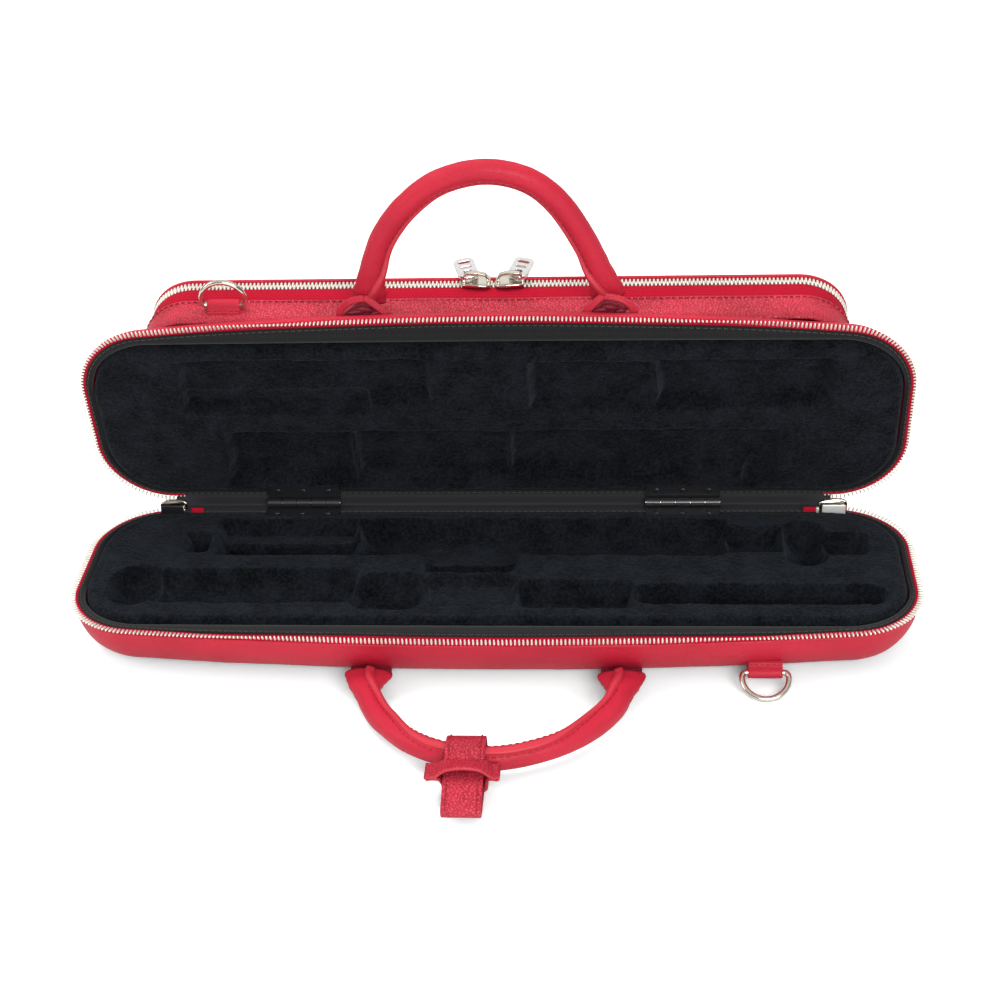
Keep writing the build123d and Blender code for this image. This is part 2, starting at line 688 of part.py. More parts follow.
# --- sliders and pulls ------------------------------------------------------------------------------
def make_slider(name, skin, low, high, inner_low, inner_high, row_inset_far, pin_plane):
    """Slider body: outer plate, post between the rows, inner plate and the lugs for the pull."""
    inner_top = row_inset_far + slider_clearance
    with BuildPart() as body:
        with BuildSketch(skin.offset(slider_clearance)):
            with Locations((0, (low + high) / 2)):
                RectangleRounded(slider_length, high - low, slider_corner_radius)
        extrude(amount=slider_plate)
        with BuildSketch(skin.offset(-inner_top)):
            Rectangle(slider_post_length, slider_post)
        extrude(amount=inner_top + slider_clearance)
        with BuildSketch(skin.offset(-inner_top - slider_plate)):
            with Locations((0, (inner_low + inner_high) / 2)):
                Rectangle(slider_post_length, inner_high - inner_low)
        extrude(amount=slider_plate)
        for sign in (-1, 1):
            gap = pull_eye_width / 2 + slider_clearance
            inner_side = gap if sign > 0 else -gap - lug_thickness
            lug_plane = Plane(
                origin=pin_plane.origin + pin_plane.x_dir * inner_side,
                x_dir=skin.z_dir.cross(pin_plane.x_dir),
                z_dir=pin_plane.x_dir,
            )
            with BuildSketch(lug_plane):
                Circle(pull_eye_radius)
                with Locations((0, -lug_height / 2)):
                    Rectangle(2 * pull_eye_radius, lug_height)
            extrude(amount=lug_thickness)
        pin_length = pull_eye_width + 2 * (slider_clearance + lug_thickness)
        pin_start = Plane(origin=pin_plane.origin - pin_plane.x_dir * pin_length / 2, z_dir=pin_plane.x_dir)
        add(rod(pin_start, pull_pin_radius, pin_length))
    save(body.part, name)


def make_pull(name, pin_plane):
    """Slotted pull that swings about its pin; the plane's X is the pin, its Y the pull's length."""
    with BuildPart() as pull:
        with BuildSketch(pin_plane.offset(-pull_thickness / 2)):
            with Locations((0, pull_length / 2)):
                Rectangle(pull_eye_width, pull_length)
            with Locations((0, (pull_length + 2 * pull_eye_radius + slider_clearance) / 2)):
                plate_length = pull_length - 2 * pull_eye_radius - slider_clearance
                RectangleRounded(pull_width, plate_length, pull_corner_radius)
            for place, height in pull_slots:
                with Locations((0, place)):
                    SlotOverall(pull_slot_width, height, mode=Mode.SUBTRACT)
        extrude(amount=pull_thickness)
        eye_start = Plane(origin=pin_plane.origin - pin_plane.x_dir * pull_eye_width / 2, z_dir=pin_plane.x_dir)
        add(rod(eye_start, pull_eye_radius, pull_eye_width))
        bore_start = Plane(origin=pin_plane.origin - pin_plane.x_dir * pull_eye_width, z_dir=pin_plane.x_dir)
        add(rod(bore_start, pull_pin_radius + pull_running_clearance, 2 * pull_eye_width), mode=Mode.SUBTRACT)
    save(pull.part, name)


def pin_plane_on(skin, shift, twist, lean):
    """Plane of a pull: pin shifted along the zip and turned by twist, pull leaning off the slider's normal."""
    pin = skin.x_dir * cos(twist) + skin.y_dir * sin(twist)
    lean_way = skin.y_dir * cos(twist) - skin.x_dir * sin(twist)
    along = skin.z_dir * cos(lean) + lean_way * sin(lean)
    origin = skin.origin + skin.x_dir * shift + skin.z_dir * (slider_clearance + slider_plate + lug_height)
    return Plane(origin=origin, x_dir=pin, z_dir=pin.cross(along))


row_gap_middle = inner_row_end + pocket_row_gap / 2
for side, sign in (("left", -1), ("right", 1)):
    skin = Plane(
        origin=lid_place(sign * pocket_slider_x, pocket_front_y, row_gap_middle), x_dir=(1, 0, 0), z_dir=lid_up
    )
    twist = radians(-sign * pocket_pull_twist)
    pins = pin_plane_on(skin, sign * pocket_pin_shift, twist, radians(pocket_pull_lean))
    half_width = pocket_slider_width / 2
    inner_low = -half_width + slider_plate
    far_inset = row_inset + pocket_row_thickness
    make_slider(
        f"pocket_slider_{side}", skin, -half_width, half_width, inner_low, slider_post / 2, far_inset, pins
    )
    make_pull(f"pocket_pull_{side}", pins)

    skin = Plane(origin=(sign * main_slider_x, back_edge_y, base_depth), x_dir=(1, 0, 0), z_dir=(0, 1, 0))
    pins = pin_plane_on(skin, 0.0, 0.0, radians(main_pull_lean))
    far_inset = teeth_inset + teeth_thickness + teeth_bottom * draft_slope
    make_slider(
        f"main_slider_{side}", skin, -main_slider_high, main_slider_low,
        -inner_plate_reach, inner_plate_reach, far_inset, pins,
    )
    make_pull(f"main_pull_{side}", pins)
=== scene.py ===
from math import asin, ceil, cos, exp, hypot, pi, radians, sin, sqrt, tan

import bmesh
import bpy
from mathutils import Matrix, Vector, noise


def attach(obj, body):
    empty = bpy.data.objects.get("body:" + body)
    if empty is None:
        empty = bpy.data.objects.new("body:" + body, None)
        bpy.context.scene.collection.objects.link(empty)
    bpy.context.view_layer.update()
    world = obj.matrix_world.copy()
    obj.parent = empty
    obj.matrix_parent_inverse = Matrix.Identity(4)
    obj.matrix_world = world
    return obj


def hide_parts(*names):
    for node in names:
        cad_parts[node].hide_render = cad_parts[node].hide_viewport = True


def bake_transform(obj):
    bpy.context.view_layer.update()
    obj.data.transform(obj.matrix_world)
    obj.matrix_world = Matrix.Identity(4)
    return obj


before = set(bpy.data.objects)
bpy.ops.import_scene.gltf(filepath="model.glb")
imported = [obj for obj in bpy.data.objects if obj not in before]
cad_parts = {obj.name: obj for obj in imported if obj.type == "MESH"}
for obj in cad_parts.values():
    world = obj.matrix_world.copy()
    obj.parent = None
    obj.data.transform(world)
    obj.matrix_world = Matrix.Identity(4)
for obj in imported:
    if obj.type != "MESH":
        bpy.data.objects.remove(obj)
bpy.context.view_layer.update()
MM = 0.001


# --- sizes of the case, in millimetres -----------------------------------------------------------
# In each half, x runs along the case, y to the back, and depth goes from the zip to the closed face.
HALF_LENGTH = 215.5
FRONT_MIDDLE = -66.8
FRONT_BOW = 12.6
BACK = 54.0
CORNER = 38.0
BASE_DEPTH = 32.7
LID_DEPTH = 21.0
DRAFT = tan(radians(8))
HINGE_Y = 56.3
ZIP_END = 172.0
TRAY_HALF = 209.5
TRAY_FRONT = -49.0
TRAY_BACK = 48.5
TRAY_CORNER = 33.0
LID_ANGLE = radians(80)
X_WAY, Y_WAY, Z_WAY = Vector((1, 0, 0)), Vector((0, 1, 0)), Vector((0, 0, 1))
ALONG = Vector((0, cos(LID_ANGLE), -sin(LID_ANGLE)))
OUT = Vector((0, sin(LID_ANGLE), cos(LID_ANGLE)))
LID_ORIGIN = Vector((0, HINGE_Y * (1 - ALONG.y), BASE_DEPTH - HINGE_Y * ALONG.z))
LID_UP = -ALONG


def on_base(x, y, depth):
    """Place in the base."""
    return Vector((x, y, BASE_DEPTH - depth))


def on_lid(x, y, depth):
    """Place in the open lid."""
    return LID_ORIGIN + ALONG * y + OUT * depth + Vector((x, 0, 0))


HALVES = {"base": on_base, "lid": on_lid}


# --- shader maths --------------------------------------------------------------------------------
class Val:
    """Output of a shader node that can be used like a number."""

    def __init__(self, tree, socket=None):
        self.tree, self.socket = tree, socket

    def node(self, kind, links=(), out=0, **settings):
        """New node: its settings first, then the values or links of its sockets; one output is kept."""
        made = self.tree.nodes.new("ShaderNode" + kind)
        for key, value in settings.items():
            setattr(made, key, value)
        for name, value in dict(links).items():
            put(self.tree, made.inputs[name], value)
        return Val(self.tree, made.outputs[out])

    def other(self, out):
        """Another output of the same node."""
        return Val(self.tree, self.socket.node.outputs[out])

    def math(self, operation, *values):
        return self.node("Math", enumerate(values), operation=operation)

    def __add__(self, other):
        return self.math("ADD", self, other)

    def __sub__(self, other):
        return self.math("SUBTRACT", self, other)

    def __rsub__(self, other):
        return self.math("SUBTRACT", other, self)

    def __mul__(self, other):
        return self.math("MULTIPLY", self, other)

    def sine(self):
        return self.math("SINE", self)

    def ramp(self, low, high):
        """0 below low, 1 above high, smooth between."""
        links = {"Value": self, "From Min": low, "From Max": high}
        return self.node("MapRange", links, interpolation_type="SMOOTHSTEP")

    def between(self, first, second):
        """Colour that goes from first to second as this goes from 0 to 1."""
        return self.node("Mix", {0: self, 6: first, 7: second}, out=2, data_type="RGBA")

    __radd__ = __add__
    __rmul__ = __mul__


def put(tree, socket, value):
    """Link a value to a socket, or set it as a constant."""
    if isinstance(value, Val):
        tree.links.new(value.socket, socket)
    elif isinstance(value, tuple) and len(value) == 3 and socket.type == "RGBA":
        socket.default_value = (*value, 1)
    else:
        socket.default_value = value


def material(name, paint, **constants):
    """Material whose varying inputs come from paint(place, uv); the rest are constants."""
    mat = bpy.data.materials.new(name)
    mat.use_nodes = True
    tree = mat.node_tree
    shader = tree.nodes["Principled BSDF"]
    place = Val(tree).node("TexCoord", out="Object")
    for key, value in {**constants, **paint(place, place.other("UV"))}.items():
        put(tree, shader.inputs[key.replace("_", " ")], value)
    return mat


def pebbles(place, size):
    """Distance from the edges of pebbles of about the given size, in metres."""
    return place.node("TexVoronoi", {"Vector": place, "Scale": 1 / size}, feature="DISTANCE_TO_EDGE")


def clouds(place, size, detail=2.0, rough=0.5):
    """Soft noise of about the given size, in metres."""
    links = {"Vector": place, "Scale": 1 / size, "Detail": detail, "Roughness": rough}
    return place.node("TexNoise", links)


def bump(height, strength, distance):
    return height.node("Bump", {"Strength": strength, "Distance": distance, "Height": height})


def leather_paint(deep, light, pebble=0.0009, strength=0.5, crease_shade=0.3):
    """Pebbled leather: rounded cells, fine pores, painted shade in the creases and lighter pebble tops.

    Seen by soft bounced light it is nearly grey, so that the white floor beside it isn't tinted.
    """
    def paint(place, uv):
        wobble = clouds(place, 0.0016, 1.0) * 0.0003
        warped = place.node("VectorMath", {0: place, 1: wobble}, operation="ADD")
        crease = 1 - pebbles(warped, pebble).ramp(0.0, 0.16)
        pores = clouds(place, 0.00025, 3.0)
        broad = clouds(place, 0.035, 2.0)
        # The crease term is painted shade: it darkens the creases between pebbles and leaves their tops
        # lighter; the broad and pore terms vary the tone at random.
        shade = crease * crease_shade + broad.ramp(0.35, 0.7) * 0.3 + pores * 0.15
        height = (1 - crease) * 1.0 + pores * 0.12
        bounced = place.node("LightPath", out="Is Diffuse Ray")
        return {
            "Base Color": bounced.between(shade.between(light, deep), GREYED),
            "Roughness": 0.40 + crease * 0.14 + broad * 0.06,
            "Normal": bump(height, strength, 0.00024),
        }
    return paint


def weave_paint(dark, light, pitch_u, pitch_v, twill=0.0, depth=0.0001):
    """Woven tape: threads across and along, shifted a little row by row for a twill."""
    def paint(place, uv):
        u = uv.node("SeparateXYZ", {0: uv})
        v = u.other("Y")
        across = (u * (2 * pi / pitch_u) + v * (twill * 2 * pi / pitch_v)).sine()
        along = (v * (2 * pi / pitch_v)).sine()
        height = across * 0.5 + along * 0.3
        fuzz = clouds(place, 0.0004, 3.0)
        shade = height.ramp(-0.55, 0.55) * 0.75 + fuzz * 0.25
        return {
            "Base Color": shade.between(dark, light),
            "Roughness": 0.75 + fuzz * 0.15,
            "Normal": bump(height + fuzz * 0.6, 0.7, depth),
        }
    return paint


def plush_paint(dark, light):
    """Short pile: fine tufts and brushed patches."""
    def paint(place, uv):
        tuft = clouds(place, 0.0015, 3.0, 0.8)
        brushed = clouds(place, 0.016, 4.0, 0.65)
        shade = tuft.ramp(0.4, 0.62) * 0.6 + brushed.ramp(0.36, 0.64) * 0.4
        return {
            "Base Color": shade.between(dark, light),
            "Roughness": 0.9 + tuft * 0.1,
            "Normal": bump(tuft + brushed * 0.6, 1.0, 0.0011),
        }
    return paint


def metal_paint(colour, rough):
    """Polished metal with faint smears."""
    def paint(place, uv):
        smear = clouds(place, 0.003, 3.0)
        tone = tuple(0.82 * part for part in colour)
        return {
            "Base Color": smear.between(colour, tone),
            "Roughness": rough + smear * 0.06,
            "Normal": bump(smear, 0.05, 0.00005),
        }
    return paint


def plain_paint(dark, light, size, rough):
    """Raw leather edge or thread: two tones in soft flecks."""
    def paint(place, uv):
        fuzz = clouds(place, size, 3.0)
        return {
            "Base Color": fuzz.between(dark, light),
            "Roughness": rough + fuzz * 0.1,
            "Normal": bump(fuzz, 0.4, size / 4),
        }
    return paint


GREYED = (0.2, 0.17, 0.17)
leather = material(
    "leather_red", leather_paint((0.34, 0.0038, 0.017), (0.56, 0.012, 0.037)),
    Specular_IOR_Level=0.35,
)
# Painted light: a copy of the red leather with bigger pebbles, stronger painted shade in the creases and
# lighter pebble tops as painted highlight, for leather lit at a grazing angle.
grained_crease_shade = material(
    "leather_grained_crease_shade", leather_paint((0.22, 0.002, 0.010), (0.62, 0.024, 0.055), 0.0016, 1.0, 0.6),
    Specular_IOR_Level=0.5,
)
# Painted shade: a darker copy of the red leather, for the sheets and folds beside the handles' roots where
# shade falls.
shaded_leather = material(
    "leather_shaded", leather_paint((0.12, 0.003, 0.01), (0.26, 0.008, 0.024), 0.001, 0.8)
)
edge_leather = material(
    "leather_edge", plain_paint((0.44, 0.014, 0.030), (0.56, 0.024, 0.044), 0.0009, 0.45)
)
tape_red = material(
    "zip_tape_red", weave_paint((0.16, 0.001, 0.008), (0.62, 0.006, 0.032), 0.0014, 0.0014, 0.7, 0.0003),
    Specular_IOR_Level=0.15,
)
plush = material(
    "plush_black", plush_paint((0.0004, 0.0006, 0.0009), (0.0112, 0.0131, 0.0172)),
    Sheen_Weight=0.08, Sheen_Roughness=0.4, Sheen_Tint=(0.6, 0.7, 0.85), Specular_IOR_Level=0.08,
)
binding = material(
    "binding_grosgrain", weave_paint((0.0016, 0.0016, 0.0018), (0.0088, 0.0085, 0.0085), 0.0014, 0.004),
    Sheen_Weight=0.1, Specular_IOR_Level=0.3,
)
thread_red = material("thread_red", plain_paint((0.20, 0.002, 0.010), (0.36, 0.004, 0.020), 0.0004, 0.6))
thread_black = material("thread_black", plain_paint((0.02, 0.02, 0.022), (0.07, 0.07, 0.075), 0.0004, 0.6))
teeth_metal = material("teeth_nickel", metal_paint((0.95, 0.91, 0.82), 0.34), Metallic=0.55)
nickel = material("nickel", metal_paint((0.80, 0.75, 0.64), 0.14), Metallic=1.0)
bright = material("bright_pull", metal_paint((0.93, 0.92, 0.90), 0.2), Metallic=1.0)
black_metal = material("black_lacquer", metal_paint((0.012, 0.012, 0.014), 0.3), Coat_Weight=0.3)
# Painted highlight: near-white satin for the inner plate of the main slider at the lit right end.
satin_painted_highlight = material("satin_slider_painted_highlight", metal_paint((0.95, 0.94, 0.92), 0.42), Metallic=0.5)
lining = material("lining_cloth", weave_paint((0.006, 0.006, 0.008), (0.02, 0.02, 0.024), 0.0007, 0.0007))


# --- mesh making ---------------------------------------------------------------------------------
def piece(name, verts, faces, mat, body, stands_for=(), uvs=None, smooth=True, closed=True):
    """Mesh object from places in millimetres; it rides on a body."""
    data = bpy.data.meshes.new(name)
    data.from_pydata([tuple(MM * c for c in v) for v in verts], [], faces)
    if uvs:
        layer = data.uv_layers.new(name="along")
        for loop in data.loops:
            layer.data[loop.index].uv = [MM * c for c in uvs[loop.vertex_index]]
    if closed:
        mesh = bmesh.new()
        mesh.from_mesh(data)
        bmesh.ops.recalc_face_normals(mesh, faces=mesh.faces)
        mesh.to_mesh(data)
        mesh.free()
    data.materials.append(mat)
    for polygon in data.polygons:
        polygon.use_smooth = smooth
    obj = bpy.data.objects.new(name, data)
    bpy.context.scene.collection.objects.link(obj)
    if body:
        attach(obj, body)
    if stands_for:
        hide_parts(*stands_for)
    return obj


def loft(rows, loop_rows=False, loop_cols=False, cap_first=False, cap_last=False, lengths=None):
    """Quads over rows of places; uv is length along the rows' order and across."""
    verts, faces, uvs = [], [], []
    count = len(rows[0])
    for index, row in enumerate(rows):
        across = 0.0
        for column, place in enumerate(row):
            if column:
                across += (place - row[column - 1]).length
            verts.append(place)
            uvs.append((lengths[index] if lengths else index, across))
    total = len(rows)
    for i in range(total if loop_rows else total - 1):
        a, b = i * count, (i + 1) % total * count
        for j in range(count if loop_cols else count - 1):
            k = (j + 1) % count
            faces.append((a + j, b + j, b + k, a + k))
    if cap_first:
        faces.append(tuple(range(count)))
    if cap_last:
        faces.append(tuple(range((total - 1) * count, total * count)))
    return verts, faces, uvs


def straight(start, end, outward, step):
    """Places from one point up to the next, each with the direction outward."""
    (x0, y0), (x1, y1) = start, end
    count = ceil(hypot(x1 - x0, y1 - y0) / step)
    return [(x0 + (x1 - x0) * i / count, y0 + (y1 - y0) * i / count, *outward) for i in range(count)]


def bend(centre, radius, start, end, step):
    """Places on an arc round a centre, from one angle up to the next."""
    count = ceil((end - start) * radius / step)
    angles = [start + (end - start) * i / count for i in range(count)]
    return [(centre[0] + radius * cos(a), centre[1] + radius * sin(a), cos(a), sin(a)) for a in angles]


def measured(points):
    """The same places, each with its length from the first."""
    length, marked = 0.0, []
    for i, point in enumerate(points):
        if i:
            length += hypot(point[0] - points[i - 1][0], point[1] - points[i - 1][1])
        marked.append((*point, length))
    return marked


def rim(step=2.0):
    """Rim of a half, anticlockwise from the middle of the back: x, y, outward x, y, length."""
    radius = (HALF_LENGTH**2 + FRONT_BOW**2) / (2 * FRONT_BOW)
    arc_y = FRONT_MIDDLE + radius
    cx = HALF_LENGTH - CORNER
    back_y = BACK - CORNER
    front_y = arc_y - sqrt((radius - CORNER) ** 2 - cx**2)
    lean = asin(cx / (radius - CORNER))
    points = straight((0, BACK), (-cx, BACK), (0, 1), step)
    points += bend((-cx, back_y), CORNER, pi / 2, pi, step)
    points += straight((-HALF_LENGTH, back_y), (-HALF_LENGTH, front_y), (-1, 0), step)
    points += bend((-cx, front_y), CORNER, pi, 1.5 * pi - lean, step)
    points += bend((0, arc_y), radius, 1.5 * pi - lean, 1.5 * pi + lean, step)
    points += bend((cx, front_y), CORNER, 1.5 * pi + lean, 2 * pi, step)
    points += straight((HALF_LENGTH, front_y), (HALF_LENGTH, back_y), (1, 0), step)
    points += bend((cx, back_y), CORNER, 0, pi / 2, step)
    points += straight((cx, BACK), (0, BACK), (0, 1), step)
    return measured(points)


def rounded_box(x, y, left, right, front, back, radius):
    """Signed distance from a rounded rectangle in plan, negative inside."""
    dx = abs(x - (left + right) / 2) - (right - left) / 2 + radius
    dy = abs(y - (front + back) / 2) - (back - front) / 2 + radius
    return hypot(max(dx, 0), max(dy, 0)) + min(max(dx, dy), 0) - radius


def tray_distance(x, y):
    """Distance outside the tray's outline in plan."""
    return rounded_box(x, y, -TRAY_HALF, TRAY_HALF, TRAY_FRONT, TRAY_BACK, TRAY_CORNER)


def nearest_on_tray(x, y, gap):
    """Place on the tray's outline moved out by gap, nearest to a place outside it."""
    e = 0.05
    gx = (tray_distance(x + e, y) - tray_distance(x - e, y)) / (2 * e)
    gy = (tray_distance(x, y + e) - tray_distance(x, y - e)) / (2 * e)
    move = tray_distance(x, y) - gap
    return x - gx * move, y - gy * move


def smooth(low, high, value):
    """0 below low, 1 above high, smooth between."""
    t = min(max((value - low) / (high - low), 0), 1)
    return t * t * (3 - 2 * t)


def bumpiness(x, y, z, size, height):
    """Gentle unevenness, up to the given height."""
    return height * noise.noise(Vector((x / size, y / size, z / size)))


RIM = rim()
OPEN_RIM = [p for p in RIM if not (p[1] > 40 and abs(p[0]) < ZIP_END)]


# --- leather covers ------------------------------------------------------------------------------
EDGE_ROLL = [(2.6, 5.2), (1.5, 4.5), (0.75, 4.35), (0.2, 4.7), (0.02, 5.5), (0.3, 6.3)]
FACE_REACH = 45


def cover_profile(depth, lean, curve):
    """Inset and depth from the sewn edge down a soft wall that rolls over onto the closed face."""
    rows = list(EDGE_ROLL)
    inset, start = EDGE_ROLL[-1]
    for i in range(1, 25):
        a = pi / 2 * i / 24
        rows.append((inset + lean * sin(a) + curve * (1 - cos(a)), start + (depth - start) * sin(a)))
    return rows + [(FACE_REACH - (FACE_REACH - rows[-1][0]) * part, depth) for part in (0.6, 0.3, 0)]


def make_cover(prefix, depth, lean, curve):
    """Leather outside of one half, from the zip over the wall to the whole closed face."""
    profile = cover_profile(depth, lean, curve)
    rows = []
    for x, y, nx, ny, _ in RIM:
        row = []
        for inset, w in profile:
            wave = bumpiness(x, y, w, 30, 0.5) + bumpiness(x, y, w + 50, 11, 0.15)
            if w >= depth - 0.5:
                wave = 0.0
            row.append(HALVES[prefix](x - nx * (inset - wave), y - ny * (inset - wave), w))
        rows.append(row)
    verts, faces, uvs = loft(rows, loop_rows=True)
    count = len(profile)
    faces.append(tuple((i + 1) * count - 1 for i in range(len(rows))))
    stands_for = [f"{prefix}_cover", f"{prefix}_shell"]
    piece(f"{prefix}_leather", verts, faces, leather, prefix, stands_for, uvs)


make_cover("base", BASE_DEPTH, 1.2, 25.0)
make_cover("lid", LID_DEPTH, 7.1, 6.8)


# --- zips ----------------------------------------------------------------------------------------
def flare(x, y):
    """How far a row of teeth leans outward: 1 at the ends, 0 at the middle of the front."""
    if y > 0:
        return 1.0
    return smooth(60, 170, abs(x))


def walk(points, pitch):
    """Evenly spaced places along a list of (place, ...) with tangents."""
    found, spare = [], 0.0
    for a, b in zip(points, points[1:]):
        gap = (b[0] - a[0]).length
        t = spare
        while t < gap:
            f = t / gap
            mixed = [pa.lerp(pb, f) for pa, pb in zip(a, b)]
            found.append((mixed, (b[0] - a[0]).normalized()))
            t += pitch
        spare = t - gap
    return found


def add_bar(verts, faces, rings):
    """Closed bar through rings of places, added to a growing mesh."""
    start, around = len(verts), len(rings[0])
    for ring in rings:
        verts.extend(ring)
    last = start + (len(rings) - 1) * around
    for first in range(start, last, around):
        for k in range(around):
            a, b = first + k, first + (k + 1) % around
            faces.append((a, b, b + around, a + around))
    faces.append(tuple(start + k for k in range(around)))
    faces.append(tuple(last + k for k in range(around)))


TOOTH_PITCH, TOOTH_REACH = 2.05, 3.3
# part of the reach, share of the width, share of the thickness
TOOTH_STATIONS = (
    (0, 0.8, 0.8), (0.12, 1, 1), (0.62, 1, 1), (0.74, 0.72, 0.95), (0.94, 0.72, 0.9), (1, 0.5, 0.6)
)


def tooth_ring(centre, along, wide, normal, thick):
    """Eight-sided ring between a square and a circle."""
    ring = []
    for k in range(8):
        a = pi / 8 + k * pi / 4
        c, s = cos(a), sin(a)
        squarer = 0.54 / max(abs(c), abs(s)) ** 0.5
        ring.append(centre + along * (wide * c * squarer) + normal * (thick * s * squarer))
    return ring


def row_of_teeth(name, points, wide, thick, body, stands_for, offset=0.0):
    """Teeth along a list of (root, across) vectors: bars from the tape's edge with narrower heads."""
    verts, faces = [], []
    for (root, across), along in walk(points, TOOTH_PITCH):
        across = (across - along * across.dot(along)).normalized()
        normal = along.cross(across).normalized()
        root = root + along * offset
        add_bar(verts, faces, [
            tooth_ring(root + across * (TOOTH_REACH * part), along, wide * share_w, normal, thick * share_t)
            for part, share_w, share_t in TOOTH_STATIONS
        ])
    return piece(name, verts, faces, teeth_metal, body, stands_for)


# inset of the tape's inner edge at the middle of the front, and how much less it is where the teeth lean out
TAPE_INNER = {"base": (6.2, 3.0), "lid": (4.6, 1.4)}


def make_main_zip(prefix, place):
    """Teeth and the strip of red tape they stand on."""
    roots, tape_rows, lengths = [], [], []
    for x, y, nx, ny, s in OPEN_RIM:
        out = flare(x, y)
        wave = bumpiness(x, y, 0, 60, 0.5) * (1 - out)
        foot_in, foot_w = 0.6 + 0.5 * out + wave, 4.0 - 1.2 * out
        tip_in, tip_w = 0.3 - 2.3 * out + wave, 0.7 + 1.5 * out
        foot = place(x - nx * foot_in, y - ny * foot_in, foot_w)
        tip = place(x - nx * tip_in, y - ny * tip_in, tip_w)
        roots.append((foot, (tip - foot).normalized()))
        inner = TAPE_INNER[prefix][0] - TAPE_INNER[prefix][1] * out
        section = [
            (inner, 3.0 + 0.6 * out), (foot_in + 1.6, 2.75 + 0.6 * out),
            (foot_in + 0.5, foot_w - 0.8 + 0.2 * out), (foot_in + 0.1, foot_w - 0.75 + 0.3 * out),
            (foot_in - 0.35 - 1.2 * out, foot_w + 0.3 + 0.6 * out), (foot_in, foot_w + 1.4),
            (1.4, 5.6), (inner, 5.0),
        ]
        tape_rows.append([place(x - nx * i, y - ny * i, w) for i, w in section])
        lengths.append(s)
    verts, faces, uvs = loft(tape_rows, loop_cols=True, cap_first=True, cap_last=True, lengths=lengths)
    piece(f"{prefix}_zip_cloth", verts, faces, tape_red, prefix, [f"{prefix}_zip_tape"], uvs)
    row_of_teeth(f"{prefix}_zip_row", roots, 1.0, 1.2, prefix, [f"{prefix}_zip_teeth"])


for prefix, place in HALVES.items():
    make_main_zip(prefix, place)


# --- stitches and bindings -----------------------------------------------------------------------
# part of the stitch's length, lift in radii, share of the radius
STITCH_STATIONS = ((-0.5, -1.0, 0.6), (-0.38, 0.35, 1), (0, 0.75, 1), (0.38, 0.35, 1), (0.5, -1.0, 0.6))


def stitches(name, points, pitch, length, radius, mat, body):
    """Row of sewn threads, each a low arch, along a list of (place, sideways) vectors."""
    verts, faces = [], []
    for (centre, side), along in walk(points, pitch):
        normal = along.cross(side).normalized()
        rings = []
        for part, lift, share in STITCH_STATIONS:
            middle = centre + along * (part * length) + normal * (lift * radius)
            turned = [(radius * share * cos(k * pi / 3), radius * share * sin(k * pi / 3)) for k in range(6)]
            rings.append([middle + side * a + normal * b for a, b in turned])
        add_bar(verts, faces, rings)
    return piece(name, verts, faces, mat, body)


# inset of the band's outer edge at the middle of the front, and how much less it is where the teeth lean out
BAND_EDGE = {"base": (5.4, 3.0), "lid": (3.6, 1.2)}
BAND_LEVEL = 4.6
# part of the way from the tray to the outer edge, depth from the band's level
BAND_SECTION = (
    (0, 2.2), (0.02, 0), (0.08, -1.2), (0.25, -1.8), (0.55, -2.1), (0.8, -2.2), (0.97, -2.3), (1.0, -2.1),
    (1.0, 0.4),
)


def make_binding(prefix, place):
    """Ribbed band that slopes from the groove round the tray up to the tape, with its stitches."""
    rows, lengths, seam = [], [], []
    for x, y, nx, ny, s in RIM:
        edge = BAND_EDGE[prefix][0] - BAND_EDGE[prefix][1] * flare(x, y)
        ox, oy = x - nx * edge, y - ny * edge
        ix, iy = nearest_on_tray(ox, oy, 1.4)
        wave = bumpiness(x, y, 3, 25, 0.25)
        rows.append([
            place(ix + (ox - ix) * t, iy + (oy - iy) * t, BAND_LEVEL + w + wave * t * (1 - t) * 4)
            for t, w in BAND_SECTION
        ])
        lengths.append(s)
        t = 1 - min(0.35, 1.1 / hypot(ox - ix, oy - iy))
        spot = place(ix + (ox - ix) * t, iy + (oy - iy) * t, BAND_LEVEL - 2.28)
        seam.append((spot, (place(ox, oy, 0) - place(ix, iy, 0)).normalized()))
    verts, faces, uvs = loft(rows, loop_rows=True, lengths=lengths)
    stands_for = [f"{prefix}_binding"]
    piece(f"{prefix}_band", verts, faces, binding, prefix, stands_for, uvs, closed=False)
    stitches(f"{prefix}_band_stitches", seam, 3.4, 2.5, 0.22, thread_black, prefix)


for prefix, place in HALVES.items():
    make_binding(prefix, place)


# --- trays ---------------------------------------------------------------------------------------
# left, right, front, back, depth, corner radius, roundness of the well's cross-section
BASE_WELLS = [
    (-165.8, -151.9, 9.9, 28.1, 11.0, 3.0, 0.3),
    (-149.8, -74.5, 22.0, 40.4, 8.0, 3.0, 0.1),
    (-149.8, -72.7, 7.2, 30.0, 14.0, 3.0, 0.5),
    (-74.7, 121.4, 7.3, 40.3, 14.0, 4.0, 0.5),
    (-38.0, 13.0, -8.8, 12.0, 11.0, 7.0, 0.4),
    (119.0, 150.1, 10.0, 33.4, 11.0, 2.5, 0.4),
    (150.1, 172.5, -3.3, 39.0, 15.0, 10.5, 1.0),
    (170.0, 193.5, 7.3, 26.4, 10.0, 3.5, 0.4),
    (-197.5, -169.1, -37.7, -3.7, 15.0, 13.5, 1.0),
    (-174.3, -68.9, -35.5, -6.4, 13.0, 5.0, 0.6),
    (-72.1, -32.7, -40.9, -10.2, 14.0, 12.0, 0.6),
    (-34.0, 13.8, -38.3, -10.1, 6.0, 8.0, 0.3),
    (12.6, 73.0, -39.3, -16.6, 13.0, 5.0, 0.4),
    (72.0, 198.6, -36.3, -19.8, 13.0, 8.0, 0.8),
]
